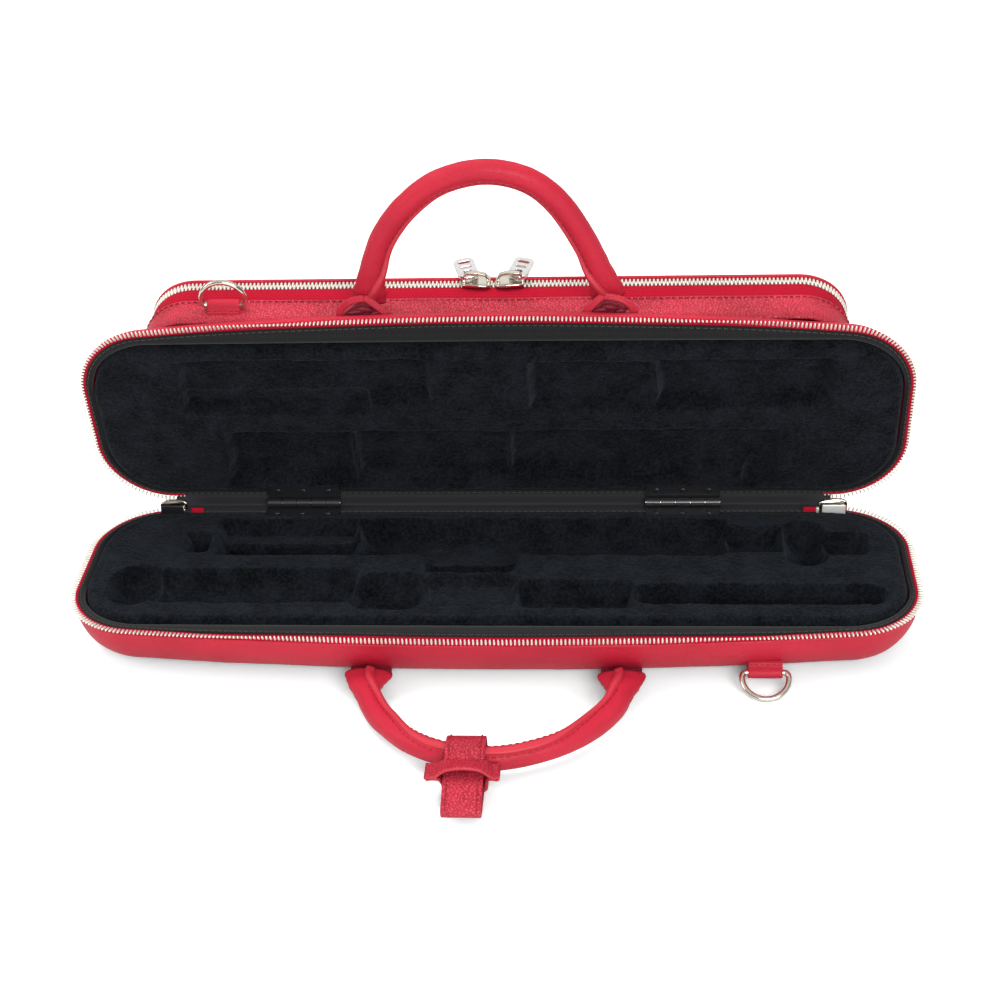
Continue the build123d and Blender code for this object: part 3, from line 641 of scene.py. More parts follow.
LID_WELLS = [
    (-163.3, -31.5, -41.8, -13.4, 9.0, 3.0, 0.2),
    (-163.3, -64.0, -20.0, -7.0, 9.0, 3.0, 0.2),
    (-145.1, -75.0, 6.4, 42.2, 9.0, 3.0, 0.2),
    (-76.0, 8.5, 5.8, 39.3, 8.0, 3.0, 0.2),
    (6.0, 149.0, 5.6, 38.7, 9.0, 3.0, 0.2),
    (127.9, 147.9, 27.3, 45.0, 9.0, 8.5, 0.2),
    (18.3, 84.5, -39.6, -7.2, 7.5, 3.0, 0.2),
    (83.5, 174.4, -40.5, -9.6, 9.0, 3.0, 0.2),
]


PLUSH_TOP, DEEPEST = 0.6, 16.0
HINGE_SEATS = [(-127.3, -86.7), (78.7, 119.3)]


def tray_depth(x, y, wells):
    """Depth of the plush below the meeting plane at a place in plan."""
    depth = PLUSH_TOP
    wx = x + 1.3 * noise.noise(Vector((x / 15, y / 15, 3.1))) + 0.7 * noise.noise(Vector((x / 6, y / 6, 8.2)))
    wy = y + 1.0 * noise.noise(Vector((x / 15, y / 15, 5.7))) + 0.6 * noise.noise(Vector((x / 6, y / 6, 1.4)))
    for left, right, front, back, well, radius, roundness in wells:
        far = -rounded_box(wx, wy, left, right, front, back, radius)
        if far < -2:
            continue
        flat = smooth(-0.9, min(4.2, (back - front) / 4), far)
        half = min(right - left, back - front) / 2
        bowl = sqrt(max(0.0, 1 - (1 - min(max(far, 0) / half, 1)) ** 2))
        depth = max(depth, PLUSH_TOP + well * (flat * (1 - roundness) + min(flat, bowl) * roundness))
    edge = tray_distance(x, y)
    if edge > -3.0:
        turned = 1 - sqrt(max(0.0, 1 - min((edge + 3.0) / 3.0, 1) ** 2))
        depth = max(depth, PLUSH_TOP + 2.4 * turned + max(0.0, edge) * 7)
    for left, right in HINGE_SEATS:
        if left < x < right and y > 44.9:
            depth = max(depth, 3.3)
    return min(depth, DEEPEST)


def make_tray(prefix, place, wells):
    """Plush surface with its wells, as one sheet over the tray's outline."""
    step, past = 0.8, 1.4
    columns, rows = int(2 * (TRAY_HALF + past) / step), int((TRAY_BACK - TRAY_FRONT + 2 * past) / step)
    verts, index = [], {}
    for j in range(rows + 1):
        for i in range(columns + 1):
            x, y = -TRAY_HALF - past + i * step, TRAY_FRONT - past + j * step
            if tray_distance(x, y) > 1.35:
                continue
            w = tray_depth(x, y, wells)
            puff = 0.4 * noise.noise(Vector((x / 9, y / 9, w / 14)))
            puff += 0.22 * noise.noise(Vector((x / 3, y / 3, 4)))
            index[i, j] = len(verts)
            verts.append(place(x + 0.3 * puff, y, max(0.45, w + puff * (1 if w > 0.7 else 0.6))))
    faces = []
    for (i, j), a in index.items():
        corners = (a, index.get((i + 1, j)), index.get((i + 1, j + 1)), index.get((i, j + 1)))
        if None not in corners:
            faces.append(corners if prefix == "base" else corners[::-1])
    piece(f"{prefix}_plush", verts, faces, plush, prefix, [f"{prefix}_tray"], closed=False)


make_tray("base", on_base, BASE_WELLS)
make_tray("lid", on_lid, LID_WELLS)


# --- solids that keep their own shapes -----------------------------------------------------------
KEPT_SOLIDS = {
    black_metal: [f"{prefix}_hinge_leaf_{side}" for prefix in HALVES for side in ("left", "right")],
    nickel: ["hinge_pin_left", "hinge_pin_right"],
    lining: ["pocket_lining"],
}
for mat, nodes in KEPT_SOLIDS.items():
    for node in nodes:
        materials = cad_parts[node].data.materials
        materials.clear()
        materials.append(mat)


# --- accessory pocket ----------------------------------------------------------------------------
POCKET_HALF, POCKET_FRONT, POCKET_BACK, POCKET_CORNER = 184.5, -57.5, 36.0, 27.0
ZIP_LOW, ZIP_MIDDLE = 10.0, 45.15
FLAP_ROW_SHIFT = 1.02


def pocket_rim(step=1.6):
    """Outline of the pocket, anticlockwise from the middle of the back."""
    cx, r = POCKET_HALF - POCKET_CORNER, POCKET_CORNER
    front_y, back_y = POCKET_FRONT + POCKET_CORNER, POCKET_BACK - POCKET_CORNER
    points = straight((0, POCKET_BACK), (-cx, POCKET_BACK), (0, 1), step)
    points += bend((-cx, back_y), r, pi / 2, pi, step)
    points += straight((-POCKET_HALF, back_y), (-POCKET_HALF, front_y), (-1, 0), step)
    points += bend((-cx, front_y), r, pi, 1.5 * pi, step)
    points += straight((-cx, POCKET_FRONT), (cx, POCKET_FRONT), (0, -1), step)
    points += bend((cx, front_y), r, 1.5 * pi, 2 * pi, step)
    points += straight((POCKET_HALF, front_y), (POCKET_HALF, back_y), (1, 0), step)
    points += bend((cx, back_y), r, 0, pi / 2, step)
    points += straight((cx, POCKET_BACK), (0, POCKET_BACK), (0, 1), step)
    return measured(points)


POCKET = pocket_rim()
POCKET_OPEN = [p for p in POCKET if p[1] < ZIP_LOW]


def at_pocket(point, inset, w):
    """Place on the pocket, in from a point of its outline."""
    x, y, nx, ny = point[:4]
    return on_lid(x - nx * inset, y - ny * inset, w)


def outward_of(point):
    """Direction out of the pocket's outline at a point of it."""
    return Vector((point[2], 0, 0)) + ALONG * point[3]


def band_round(name, points, section, mat, body, stands_for, whole=False, sag=0.0):
    """Closed section of (inset, depth) carried along an outline; it may depend on the point."""
    rows, lengths = [], []
    for point in points:
        wave = bumpiness(point[0], point[1], 9, 40, sag)
        shape = section(point) if callable(section) else section
        rows.append([at_pocket(point, i - wave, w) for i, w in shape])
        lengths.append(point[4])
    ends = not whole
    verts, faces, uvs = loft(
        rows, loop_rows=whole, loop_cols=True, cap_first=ends, cap_last=ends, lengths=lengths
    )
    return piece(name, verts, faces, mat, body, stands_for, uvs)


def gusset_section(point):
    """Soft wall of the pocket; it stands higher along the back, where there is no zip."""
    top = 31.8 if point[1] < ZIP_LOW else 47.9
    return [
        (1.6, 13.5), (0.15, 13.5), (0.1, 20.0), (-0.15, 23.0), (0.0, top - 4.5), (-0.2, top - 2.6),
        (-0.55, top - 1.4), (-0.5, top - 0.5), (-0.1, top), (0.6, top - 0.1), (1.0, top - 0.8),
        (1.6, top - 1.5),
    ]


LID_TAPE_SECTION = [
    (1.7, 31.0), (0.95, 31.0), (0.75, 34.5), (0.7, 38.0), (0.85, 42.6), (1.2, 42.9), (1.55, 42.6),
    (1.6, 38.0),
]
FLAP_TAPE_SECTION = [(1.7, 48.6), (0.9, 48.6), (0.85, 47.4), (1.2, 47.1), (1.6, 47.4)]

band_round(
    "pocket_leather_gusset", POCKET, gusset_section, grained_crease_shade, "lid", ["pocket_gusset"],
    whole=True, sag=0.5,
)
band_round(
    "pocket_tape_strip", POCKET_OPEN, LID_TAPE_SECTION, tape_red, "lid", ["pocket_tape"], sag=0.3
)
band_round(
    "pocket_flap_strip", POCKET_OPEN, FLAP_TAPE_SECTION, tape_red, "pocket_flap",
    ["pocket_flap_tape"],
)
lower_row = [(at_pocket(p, 1.15, 42.3), OUT) for p in POCKET_OPEN]
upper_row = [(at_pocket(p, 1.15, 47.7), -OUT) for p in POCKET_OPEN]
row_of_teeth("pocket_row_lid", lower_row, 1.15, 1.9, "lid", ["pocket_teeth"])
row_of_teeth("pocket_row_flap", upper_row, 1.15, 1.9, "pocket_flap", ["pocket_flap_teeth"], FLAP_ROW_SHIFT)
gusset_seam = [(at_pocket(p, -0.42, 29.9), OUT) for p in POCKET_OPEN]
stitches("pocket_seam", gusset_seam, 3.3, 2.3, 0.3, thread_red, "lid")


def make_panel():
    """Padded outer panel of the pocket with a turned edge and one row of stitches."""
    profile = [(1.0, 48.6), (0.25, 48.7), (-0.1, 49.2), (0.0, 50.0), (0.5, 50.7), (1.6, 51.05), (4.2, 50.95),
               (5.0, 50.8), (6.0, 51.1), (12.0, 51.35), (22.0, 51.45)]
    rows, lengths, seam = [], [], []
    for point in POCKET:
        wave = bumpiness(point[0], point[1], 2, 34, 0.3)
        rows.append([at_pocket(point, i, w + (0 if i < 6 else wave * 0.6)) for i, w in profile])
        lengths.append(point[4])
        seam.append((at_pocket(point, 4.6, 50.95), outward_of(point)))
    verts, faces, uvs = loft(rows, loop_rows=True, lengths=lengths)
    count = len(profile)
    faces.append(tuple((i + 1) * count - 1 for i in range(len(rows))))
    faces.append(tuple(i * count for i in range(len(rows))))
    piece("pocket_leather_panel", verts, faces, leather, "pocket_flap", ["pocket_panel"], uvs)
    stitches("pocket_panel_seam", seam, 3.3, 2.3, 0.3, thread_red, "pocket_flap")


make_panel()


# --- handles -------------------------------------------------------------------------------------
def curve_between(p0, p1, p2, p3, t):
    """Place on the smooth line from p1 to p2, between its neighbours p0 and p3."""
    bent = (2 * p0 - 5 * p1 + 4 * p2 - p3) * t * t
    return 0.5 * ((2 * p1) + (p2 - p0) * t + bent + (3 * p1 - p0 - 3 * p2 + p3) * t**3)


def smooth_path(points, count):
    """Evenly spread places on a smooth line through a few places, and the line's length."""
    found = []
    for i in range(len(points) - 1):
        before, after = points[max(i - 1, 0)], points[min(i + 2, len(points) - 1)]
        found += [curve_between(before, points[i], points[i + 1], after, k / 24) for k in range(24)]
    found.append(points[-1])
    total = sum((b - a).length for a, b in zip(found, found[1:]))
    return evenly(found, total / (count - 0.5)), total


def evenly(places, step):
    """Evenly spaced places along a line of places."""
    return [found[0][0] for found in walk([(place,) for place in places], step)]


def heading(path, i):
    """Direction of a path at one of its places."""
    return (path[min(i + 1, len(path) - 1)] - path[max(i - 1, 0)]).normalized()


def sweep_tube(name, path, normal, shape, mat, body, stands_for, sides=28):
    """Tube along a path; shape(t, angle) gives the place in the cross-section."""
    rows, lengths, frames = [], [], []
    travelled = 0.0
    for i, centre in enumerate(path):
        ahead = heading(path, i)
        side = ahead.cross(normal).normalized()
        if i:
            travelled += (centre - path[i - 1]).length
        ring = [shape(i / (len(path) - 1), 2 * pi * k / sides) for k in range(sides)]
        rows.append([centre + side * u + normal * v for u, v in ring])
        lengths.append(travelled)
        frames.append((centre, ahead, side))
    verts, faces, uvs = loft(rows, loop_cols=True, cap_first=True, cap_last=True, lengths=lengths)
    piece(name, verts, faces, mat, body, stands_for, uvs)
    return frames


def edge_section(low, root, high, half):
    """Cross-section of the raw seam: height above the grip's middle line, and place across."""
    one_side = [(low, -half - 0.5), (root, -half - 0.1), (high - 0.5, -half), (high, -half + 0.5)]
    return one_side + [(high + 0.08, 0)] + [(height, -across) for height, across in one_side[::-1]]


def make_handle(prefix, controls, normal, inside_sign, thick, flare_table, turns):
    """Rolled leather grip with a raw-edged seam that turns from the inside of the arch to its face.

    The turns are the seam's angles at the root, just above it and at the crown.
    """
    path, total = smooth_path(controls, 150)
    turn, low_turn, rest = (radians(value) for value in turns)
    faces_up = rest > 1
    body = f"{prefix}_handle"

    def size_at(t):
        """Half width and half thickness, flared towards a root."""
        s = min(t, 1 - t) * total
        for (s0, w0, d0), (s1, w1, d1) in zip(flare_table, flare_table[1:]):
            if s < s1:
                f = smooth(s0, s1, s)
                return w0 + (w1 - w0) * f, d0 + (d1 - d0) * f
        return thick, thick

    def shape(t, a):
        wide, deep = size_at(t)
        lump = 0.12 * noise.noise(Vector((t * 40, cos(a), sin(a) + ord(prefix[0]))))
        return (wide + lump) * cos(a), (deep + lump) * sin(a)

    stands_for = [f"{prefix}_handle_grip", f"{prefix}_handle_core"]
    frames = sweep_tube(f"{prefix}_grip_leather", path, normal, shape, leather, body, stands_for)
    rows, lengths, seams = [], [], {"a": [], "b": []}
    for i, (centre, ahead, side) in enumerate(frames):
        t = i / (len(frames) - 1)
        near = min(t, 1 - t)
        swing = turn + (low_turn - turn) * smooth(0.0, 0.14, near)
        swing += (rest - low_turn) * smooth(0.16, 0.38, near)
        outward = (side * inside_sign * cos(swing) + normal * sin(swing)).normalized()
        across = outward.cross(ahead).normalized()
        wide, deep = size_at(t)
        surface = 1 / sqrt((cos(swing) / wide) ** 2 + (sin(swing) / deep) ** 2)
        away = near * total
        half = 2.2 - 0.7 * smooth(4, 26, away) + 0.6 * smooth(50, 80, away) * faces_up
        high = surface + 1.7 - 0.9 * smooth(40, 70, away) * faces_up
        if 0 < i < len(frames) - 1:
            section = edge_section(surface - 1.4, surface + 0.2, high, half)
            rows.append([centre + outward * r + across * c for r, c in section])
            lengths.append(i * total / len(frames))
        angle = (half + 1.5) / surface
        for seam, sign in (("a", 1), ("b", -1)):
            spot = centre + (outward * cos(angle) + across * (sin(angle) * sign)) * surface
            seams[seam].append((spot, (across * cos(angle) * sign - outward * sin(angle)) * sign))
    verts, faces, uvs = loft(rows, loop_cols=True, cap_first=True, cap_last=True, lengths=lengths)
    piece(f"{prefix}_grip_edge", verts, faces, edge_leather, body, (), uvs)
    for seam, places in seams.items():
        sewn = places[14:-14]
        stitches(f"{prefix}_grip_stitch_{seam}", sewn, 3.4, 2.3, 0.26, thread_red, body)


# x and y of the base handle's middle line, as it lies in front of the case
BASE_LINE = [
    (-58.8, -64.4), (-58.6, -78), (-52.3, -95), (-44, -106.5), (-31, -118.5), (-13, -126.5), (10, -128.6),
    (33, -120.8), (50, -108.8), (62.5, -92.5), (66.3, -78), (66.4, -64.4),
]
BASE_LINE_HEIGHT = 10.0
# x and height above its roots of the lid handle's middle line
LID_LINE = [
    (-62.4, -1.0), (-60.3, 11), (-57.0, 25.5), (-51.2, 39.5), (-39.3, 55.8), (-22, 69.6), (0.5, 75.4),
    (21.5, 70.4), (37, 56.4), (49.7, 33), (56.5, 13), (60.2, -1.0),
]
HANDLE_DEPTH = 25.0
LID_HANDLE = on_lid(0, -63.0, HANDLE_DEPTH)
# distance from the root's end, half width, half thickness
BASE_FLARE = (
    (0, 11.6, 2.6), (1.2, 12.0, 3.7), (2.4, 12.0, 3.9), (3.4, 11.7, 3.5), (6.0, 10.6, 3.8), (9.5, 9.0, 4.5),
    (15.0, 6.7, 5.3), (21.0, 5.7, 5.7),
)
LID_FLARE = (
    (0, 8.6, 3.4), (4.0, 8.6, 3.6), (5.4, 9.0, 4.0), (10.0, 7.6, 4.8), (22.0, 6.3, 5.6), (30.0, 5.8, 5.8)
)
base_places = [Vector((x, y, BASE_LINE_HEIGHT)) for x, y in BASE_LINE]
lid_places = [LID_HANDLE + Vector((x, 0, 0)) + LID_UP * up for x, up in LID_LINE]
make_handle("base", base_places, Z_WAY, -1, 5.7, BASE_FLARE, (72, 42, 98))
make_handle("lid", lid_places, -OUT, 1, 5.8, LID_FLARE, (72, 12, 0))


# --- straps, tunnels, rings and other small shapes -----------------------------------------------
def spread(points, step):
    """Evenly spaced places along a smooth line through a few places."""
    total = smooth_path(points, 8)[1]
    return smooth_path(points, max(8, round(total / step)))[0]


def flat_section(wide, thick):
    """Cross-section of a strap with nearly square edges."""
    h, t, b = wide / 2, thick / 2, 0.17 * thick
    one_side = [(-h, -t + b), (-h + b, -t), (-h + 4 * b, -t), (h - 4 * b, -t), (h - b, -t), (h, -t + b)]
    return one_side + [(-a, -c) for a, c in one_side]


def round_section(radius, sides=16):
    """Cross-section of a wire."""
    return [(radius * cos(2 * pi * k / sides), radius * sin(2 * pi * k / sides)) for k in range(sides)]


def ribbon(name, path, sides, section, mat, body, stands_for=(), whole=False, raw_edge=False):
    """Section carried along a path; sides is the direction of its width, or a list of them."""
    rows, lengths, travelled = [], [], 0.0
    count = len(path)
    for i, centre in enumerate(path):
        after = path[(i + 1) % count] if whole else path[min(i + 1, count - 1)]
        before = path[i - 1] if whole or i else path[0]
        ahead = (after - before).normalized()
        side = sides[i] if isinstance(sides, list) else sides
        side = (side - ahead * side.dot(ahead)).normalized()
        up = side.cross(ahead)
        shape = section(i / (count - 1)) if callable(section) else section
        travelled += (centre - path[i - 1]).length if i else 0
        rows.append([centre + side * a + up * b for a, b in shape])
        lengths.append(travelled)
    ends = not whole
    verts, faces, uvs = loft(
        rows, loop_rows=whole, loop_cols=True, cap_first=ends, cap_last=ends, lengths=lengths
    )
    obj = piece(name, verts, faces, mat, body, stands_for, uvs)
    if raw_edge:
        obj.data.materials.append(edge_leather)
        around = len(rows[0])
        for polygon in obj.data.polygons:
            if polygon.index % around in (5, around - 1) or polygon.index >= around * (count - ends):
                polygon.material_index = 1


def soft_block(name, centre, axes, size, rounding, mat, body, stands_for=()):
    """Box with rounded edges, set on three axes."""
    mesh = bmesh.new()
    bmesh.ops.create_cube(mesh, size=1.0)
    for vertex in mesh.verts:
        vertex.co = Vector(a * b for a, b in zip(vertex.co, size))
    bmesh.ops.bevel(mesh, geom=list(mesh.edges), offset=rounding, segments=3, profile=0.5, affect="EDGES")
    verts = [centre + axes[0] * v.co.x + axes[1] * v.co.y + axes[2] * v.co.z for v in mesh.verts]
    faces = [tuple(v.index for v in face.verts) for face in mesh.faces]
    mesh.free()
    piece(name, verts, faces, mat, body, stands_for)


# --- tabs that hold the handles ------------------------------------------------------------------
UPRIGHT = (X_WAY, Y_WAY, Z_WAY)
for side, x in (("left", -58.4), ("right", 66.4)):
    node, centre = f"base_handle_tab_{side}", Vector((x, -60.0, 8.0))
    size = (20.5, 8.4, 3.6)
    # The neck is painted shade: a block of darker leather between the wall and the grip's root, where shade
    # falls.
    soft_block(f"{node}_neck", centre, UPRIGHT, size, 1.2, shaded_leather, "base", [node])

# shares of the span, height above the wall's foot, depth in the lid
ROUND_LEG = (
    (0.0, 9.4, 19.9), (0.3, 8.9, 19.5), (0.62, 7.6, 18.8), (0.86, 5.2, 18.0), (0.98, 2.6, 17.2),
    (1.02, 0.3, 16.8), (1.03, -1.5, 16.9),
)
STRAIGHT_LEG = (
    (0.0, 9.4, 19.9), (0.12, 9.0, 19.6), (0.36, 7.3, 18.6), (0.62, 4.9, 17.6), (0.85, 2.6, 17.0),
    (1.0, 0.6, 16.8), (1.03, -1.5, 16.9),
)
LEG_SPAN = 12.6
# start and end of each crease: across and up
CREASES = ((-8.5, 1.6, 0.5, 3.4), (-3.5, 4.6, 4.5, 3.6), (3.0, 1.2, 8.8, 2.2))


def make_tent(side, x, lean):
    """Leather strip folded over the root's end: two legs run down to the wall like an inverted V."""
    wall = on_lid(x, POCKET_FRONT, 0)

    def spot(across, up, w):
        return wall + X_WAY * across + LID_UP * up + OUT * w

    node = f"lid_handle_tab_{side}"
    facing = (LID_UP * 0.62 - OUT * 0.78).normalized()
    for sign in (-1, 1):
        span = LEG_SPAN - sign * lean
        leg = STRAIGHT_LEG if sign * lean >= 0 else ROUND_LEG
        path = spread([spot(lean + sign * span * a, b, w) for a, b, w in leg], 0.6)
        widths = [facing.cross(heading(path, i)) for i in range(len(path))]
        ribbon(f"lid_tab_leg_{side}_{sign + 1}", path, widths, flat_section(3.6, 1.5), leather, "lid",
               [node] if sign > 0 else (), raw_edge=True)
    # The back sheet and the creases behind the legs are painted shade: darker leather where shade falls
    # between the legs.
    rise = ((0, -1.0, 17.6), (0.4, 2.0, 18.3), (0.8, 5.2, 19.2), (1, 8.6, 20.4))
    sheet = spread([spot(lean * part, up, w) for part, up, w in rise], 0.5)
    ribbon(f"lid_tab_back_{side}", sheet, X_WAY, lambda t: flat_section(24.0 * (1 - t) ** 0.85 + 1.0, 1.6),
           shaded_leather, "lid")
    for k, (x0, u0, x1, u1) in enumerate(CREASES):
        middle = spot((x0 + x1) / 2, (u0 + u1) / 2 + 0.8, 17.0)
        fold = spread([spot(x0, u0, 17.2), middle, spot(x1, u1, 17.3)], 0.5)
        ribbon(f"lid_tab_fold_{side}_{k}", fold, OUT, lambda t: flat_section(1.0 + 2.2 * sin(pi * t), 1.9),
               shaded_leather, "lid")


make_tent("left", -64.4, 0.3)
make_tent("right", 60.4, -2.5)


# --- D-rings and their tunnels -------------------------------------------------------------------
RING_HALF, RING_LEG, RING_CORNER, RING_WIRE = 11.45, 3.0, 2.6, 1.45
RING_BAR_OFF = 2.1


def make_ring(name, origin, reach, body, node):
    """D-ring of round wire: its bar passes through origin, reach points from the bar to the bow."""
    side = RING_HALF - RING_CORNER
    arcs = ((side, RING_CORNER, RING_CORNER, -pi / 2, 0, 6), (0, RING_LEG, RING_HALF, 0, pi, 40),
            (-side, RING_CORNER, RING_CORNER, pi, 1.5 * pi, 6))
    flat = [(0.0, 0.0)]
    for x, y, radius, start, end, count in arcs:
        angles = [start + (end - start) * k / count for k in range(count + 1)]
        flat += [(x + radius * cos(a), y + radius * sin(a)) for a in angles]
    path = evenly([origin + X_WAY * x + reach * y for x, y in flat + [(0.0, 0.0)]], 0.7)
    wire = round_section(RING_WIRE)
    ribbon(name, path, X_WAY.cross(reach), wire, nickel, body, [node], whole=True)


# half of the fold over a ring's bar: distance up from the bar, height off the wall
TUNNEL_FOLD = [(4.7, 0.5), (4.2, 0.9), (3.4, 1.1), (2.8, 2.2), (2.3, 3.8), (1.3, 4.75)]
# place along the bar, scale of the fold there
TUNNEL_STATIONS = (
    (-8.4, 0.93), (-8.2, 0.99), (-7.6, 1), (-4, 1.02), (0, 1.03), (4, 1.02), (7.6, 1), (8.2, 0.99),
    (8.4, 0.93),
)


def make_tunnel(name, wall, up, out, body, node, deep=0.8):
    """Leather folded over a ring's bar and sewn to the wall on both sides of it."""
    half = [(4.7, -deep)] + TUNNEL_FOLD
    profile = [(-a, b) for a, b in half] + [(0, 5.05)] + half[::-1]
    rows = []
    for x, scale in TUNNEL_STATIONS:
        scaled = [(a * scale, b * scale if b > 0 else b) for a, b in profile]
        rows.append([wall + X_WAY * x + up * a + out * b for a, b in scaled])
    verts, faces, _ = loft(rows, loop_cols=True, cap_first=True, cap_last=True)
    piece(name, verts, faces, leather, body, [node])
    for sign in (-1, 1):
        ends = [(wall + X_WAY * x + up * (sign * 3.9) + out * 1.0, up) for x in (-7.4, 7.4)]
        stitches(f"{name}_thread_{sign + 1}", ends, 2.9, 2.1, 0.26, thread_red, body)


RING_HEIGHT = 8.0
BASE_RING_BAR = Vector((137.0, -60.35, RING_HEIGHT))
DROOP = asin((RING_HEIGHT - RING_WIRE - 0.1) / (RING_LEG + RING_HALF))
make_ring("base_d_ring", BASE_RING_BAR, Vector((0, -cos(DROOP), -sin(DROOP))), "base_ring", "base_ring")
base_ring_wall = BASE_RING_BAR + Y_WAY * RING_BAR_OFF
make_tunnel("base_ring_tunnel", base_ring_wall, Z_WAY, -Y_WAY, "base", "base_ring_tab", 6.5)
LID_RING_WALL = on_lid(-138.0, POCKET_FRONT, HANDLE_DEPTH)
make_ring("lid_d_ring", LID_RING_WALL + LID_UP * RING_BAR_OFF, LID_UP, "lid_ring", "lid_ring")
make_tunnel("lid_ring_tunnel", LID_RING_WALL, OUT, LID_UP, "lid", "lid_ring_tab")


# --- keeper on the base handle -------------------------------------------------------------------
KEEPER_X, KEEPER_HALF, KEEPER_THICK = -5.5, 9.25, 1.6
# y, z and radius of the circles that the loop is drawn round: the grip's two sides and the tail
KEEPER_CIRCLES = ((-128.8, 10.3, 7.98), (-126.4, 10.3, 7.98), (-162.1, 7.6, 2.4))


def keeper_loop(grow):
    """Side view of the strap's middle surface, from behind the grip over the top to the tail and back."""
    ring = []
    for k in range(361):
        n = Vector((0, cos(2 * pi * k / 360), sin(2 * pi * k / 360)))
        y, z, r = max(KEEPER_CIRCLES, key=lambda c: c[0] * n.y + c[1] * n.z + c[2])
        ring.append(Vector((KEEPER_X, y, z)) + n * (r + grow))
    return evenly(ring, 0.9)


def keeper_sag(place):
    """The band presses the strap's upper side down and the rest of it bellies a little."""
    if place.z < 9:
        return 0.0
    return -1.1 * exp(-(((place.y + 140) / 4.5) ** 2)) + 0.5 * exp(-(((place.y + 152) / 4.0) ** 2))


loop = [p + Z_WAY * keeper_sag(p) for p in keeper_loop(0.0)]
ribbon("keeper_loop", loop, X_WAY, flat_section(2 * KEEPER_HALF, KEEPER_THICK), grained_crease_shade, "keeper_strap",
       ["keeper_strap"], whole=True, raw_edge=True)
upper = [p + Z_WAY * keeper_sag(p) for p in keeper_loop(KEEPER_THICK / 2) if p.z > 8.6 and p.y < -119]
for sign in (-1, 1):
    row = [(p + X_WAY * (sign * 7.3), X_WAY) for p in upper]
    stitches(f"keeper_stitches_{sign + 1}", row, 2.5, 1.7, 0.36, thread_red, "keeper_strap")

# across from the middle of the strap: front edge's y and z, back edge's y and z
BAND_TOP = (
    (-17.4, -146.2, 13.4, -136.6, 12.6), (-15.0, -146.4, 13.7, -136.8, 12.9),
    (-12.6, -146.8, 14.6, -137.6, 13.5), (-10.6, -147.0, 16.4, -138.2, 15.2),
    (-8.0, -147.0, 18.2, -138.6, 16.4), (-4.6, -147.0, 19.2, -138.8, 16.9),
    (0.0, -147.0, 19.6, -139.0, 17.0), (4.6, -147.0, 19.3, -138.8, 16.9),
    (8.0, -147.0, 18.4, -138.6, 16.5), (10.6, -147.0, 16.5, -138.2, 15.3),
    (12.4, -146.8, 14.8, -137.6, 13.6), (14.2, -146.4, 13.8, -136.8, 13.0),
    (15.9, -146.0, 13.6, -136.6, 12.8),
)
BAND_LOW = (
    (15.7, -146.0, 11.9, -136.6, 11.1), (13.4, -145.6, 12.1, -136.6, 11.3),
    (11.4, -144.0, 10.9, -136.6, 10.1), (10.3, -142.6, 7.6, -136.5, 7.0),
    (10.0, -142.0, 4.0, -136.4, 3.8), (9.0, -142.0, 1.8, -136.4, 1.6),
    (4.0, -142.0, 1.1, -136.4, 1.0), (-4.0, -142.0, 1.1, -136.4, 1.0),
    (-9.0, -142.0, 1.8, -136.4, 1.6), (-10.0, -142.0, 4.0, -136.4, 3.8),
    (-10.3, -142.6, 7.6, -136.5, 7.0), (-11.6, -144.0, 10.9, -136.6, 10.1),
    (-14.0, -145.6, 12.1, -136.6, 11.3), (-17.2, -146.0, 11.8, -136.6, 11.0),
)


def make_keeper_band():
    """Band round the strap: wings at both sides, wide on top and narrow underneath."""
    corners = BAND_TOP + BAND_LOW
    front = spread([Vector((KEEPER_X + x, y, z)) for x, y, z, _, _ in corners], 0.8)
    count = len(front)
    back = smooth_path([Vector((KEEPER_X + x, y, z)) for x, _, _, y, z in corners], count)[0][:count]
    middle = [(a + b) / 2 for a, b in zip(front, back)]

    def section(t):
        narrow = smooth(0.47, 0.55, t) * (1 - smooth(0.86, 0.94, t))
        return flat_section(10.4 - 4.6 * narrow, KEEPER_THICK)

    ribbon("keeper_band_leather", middle, [b - a for a, b in zip(front, back)], section, grained_crease_shade,
           "keeper_band", ["keeper_band"], whole=True, raw_edge=True)


make_keeper_band()


# --- sliders and pulls ---------------------------------------------------------------------------
def outline_mesh(outlines, thick, bevel):
    """Flat plate with holes and a small bevel, from closed outlines in millimetres."""
    data = bpy.data.curves.new("outline", "CURVE")
    data.dimensions = "2D"
    data.fill_mode = "BOTH"
    data.extrude = thick / 2 - bevel
    data.bevel_depth = bevel
    data.bevel_resolution = 2
    for outline in outlines:
        spline = data.splines.new("POLY")
        spline.points.add(len(outline) - 1)
        for point, (x, y) in zip(spline.points, outline):
            point.co = (x, y, 0, 1)
        spline.use_cyclic_u = True
    holder = bpy.data.objects.new("outline", data)
    bpy.context.scene.collection.objects.link(holder)
    bpy.context.view_layer.update()
    mesh = bpy.data.meshes.new_from_object(holder.evaluated_get(bpy.context.evaluated_depsgraph_get()))
    verts = [v.co.copy() for v in mesh.vertices]
    faces = [tuple(p.vertices) for p in mesh.polygons]
    bpy.data.objects.remove(holder)
    bpy.data.curves.remove(data)
    bpy.data.meshes.remove(mesh)
    return verts, faces


def rounded(cx, cy, wide, high, radius, steps=6):
    """Outline of a rounded rectangle."""
    points = []
    for qx, qy, start in ((1, 1, 0), (-1, 1, 90), (-1, -1, 180), (1, -1, 270)):
        for k in range(steps + 1):
            a = radians(start + 90 * k / steps)
            corner_x, corner_y = cx + qx * (wide / 2 - radius), cy + qy * (high / 2 - radius)
            points.append((corner_x + radius * cos(a), corner_y + radius * sin(a)))
    return points


def set_on(verts, origin, x_dir, y_dir):
    """A flat plate's places, moved to an origin and turned to two directions."""
    z_dir = x_dir.cross(y_dir)
    return [origin + x_dir * v.x + y_dir * v.y + z_dir * v.z for v in verts]


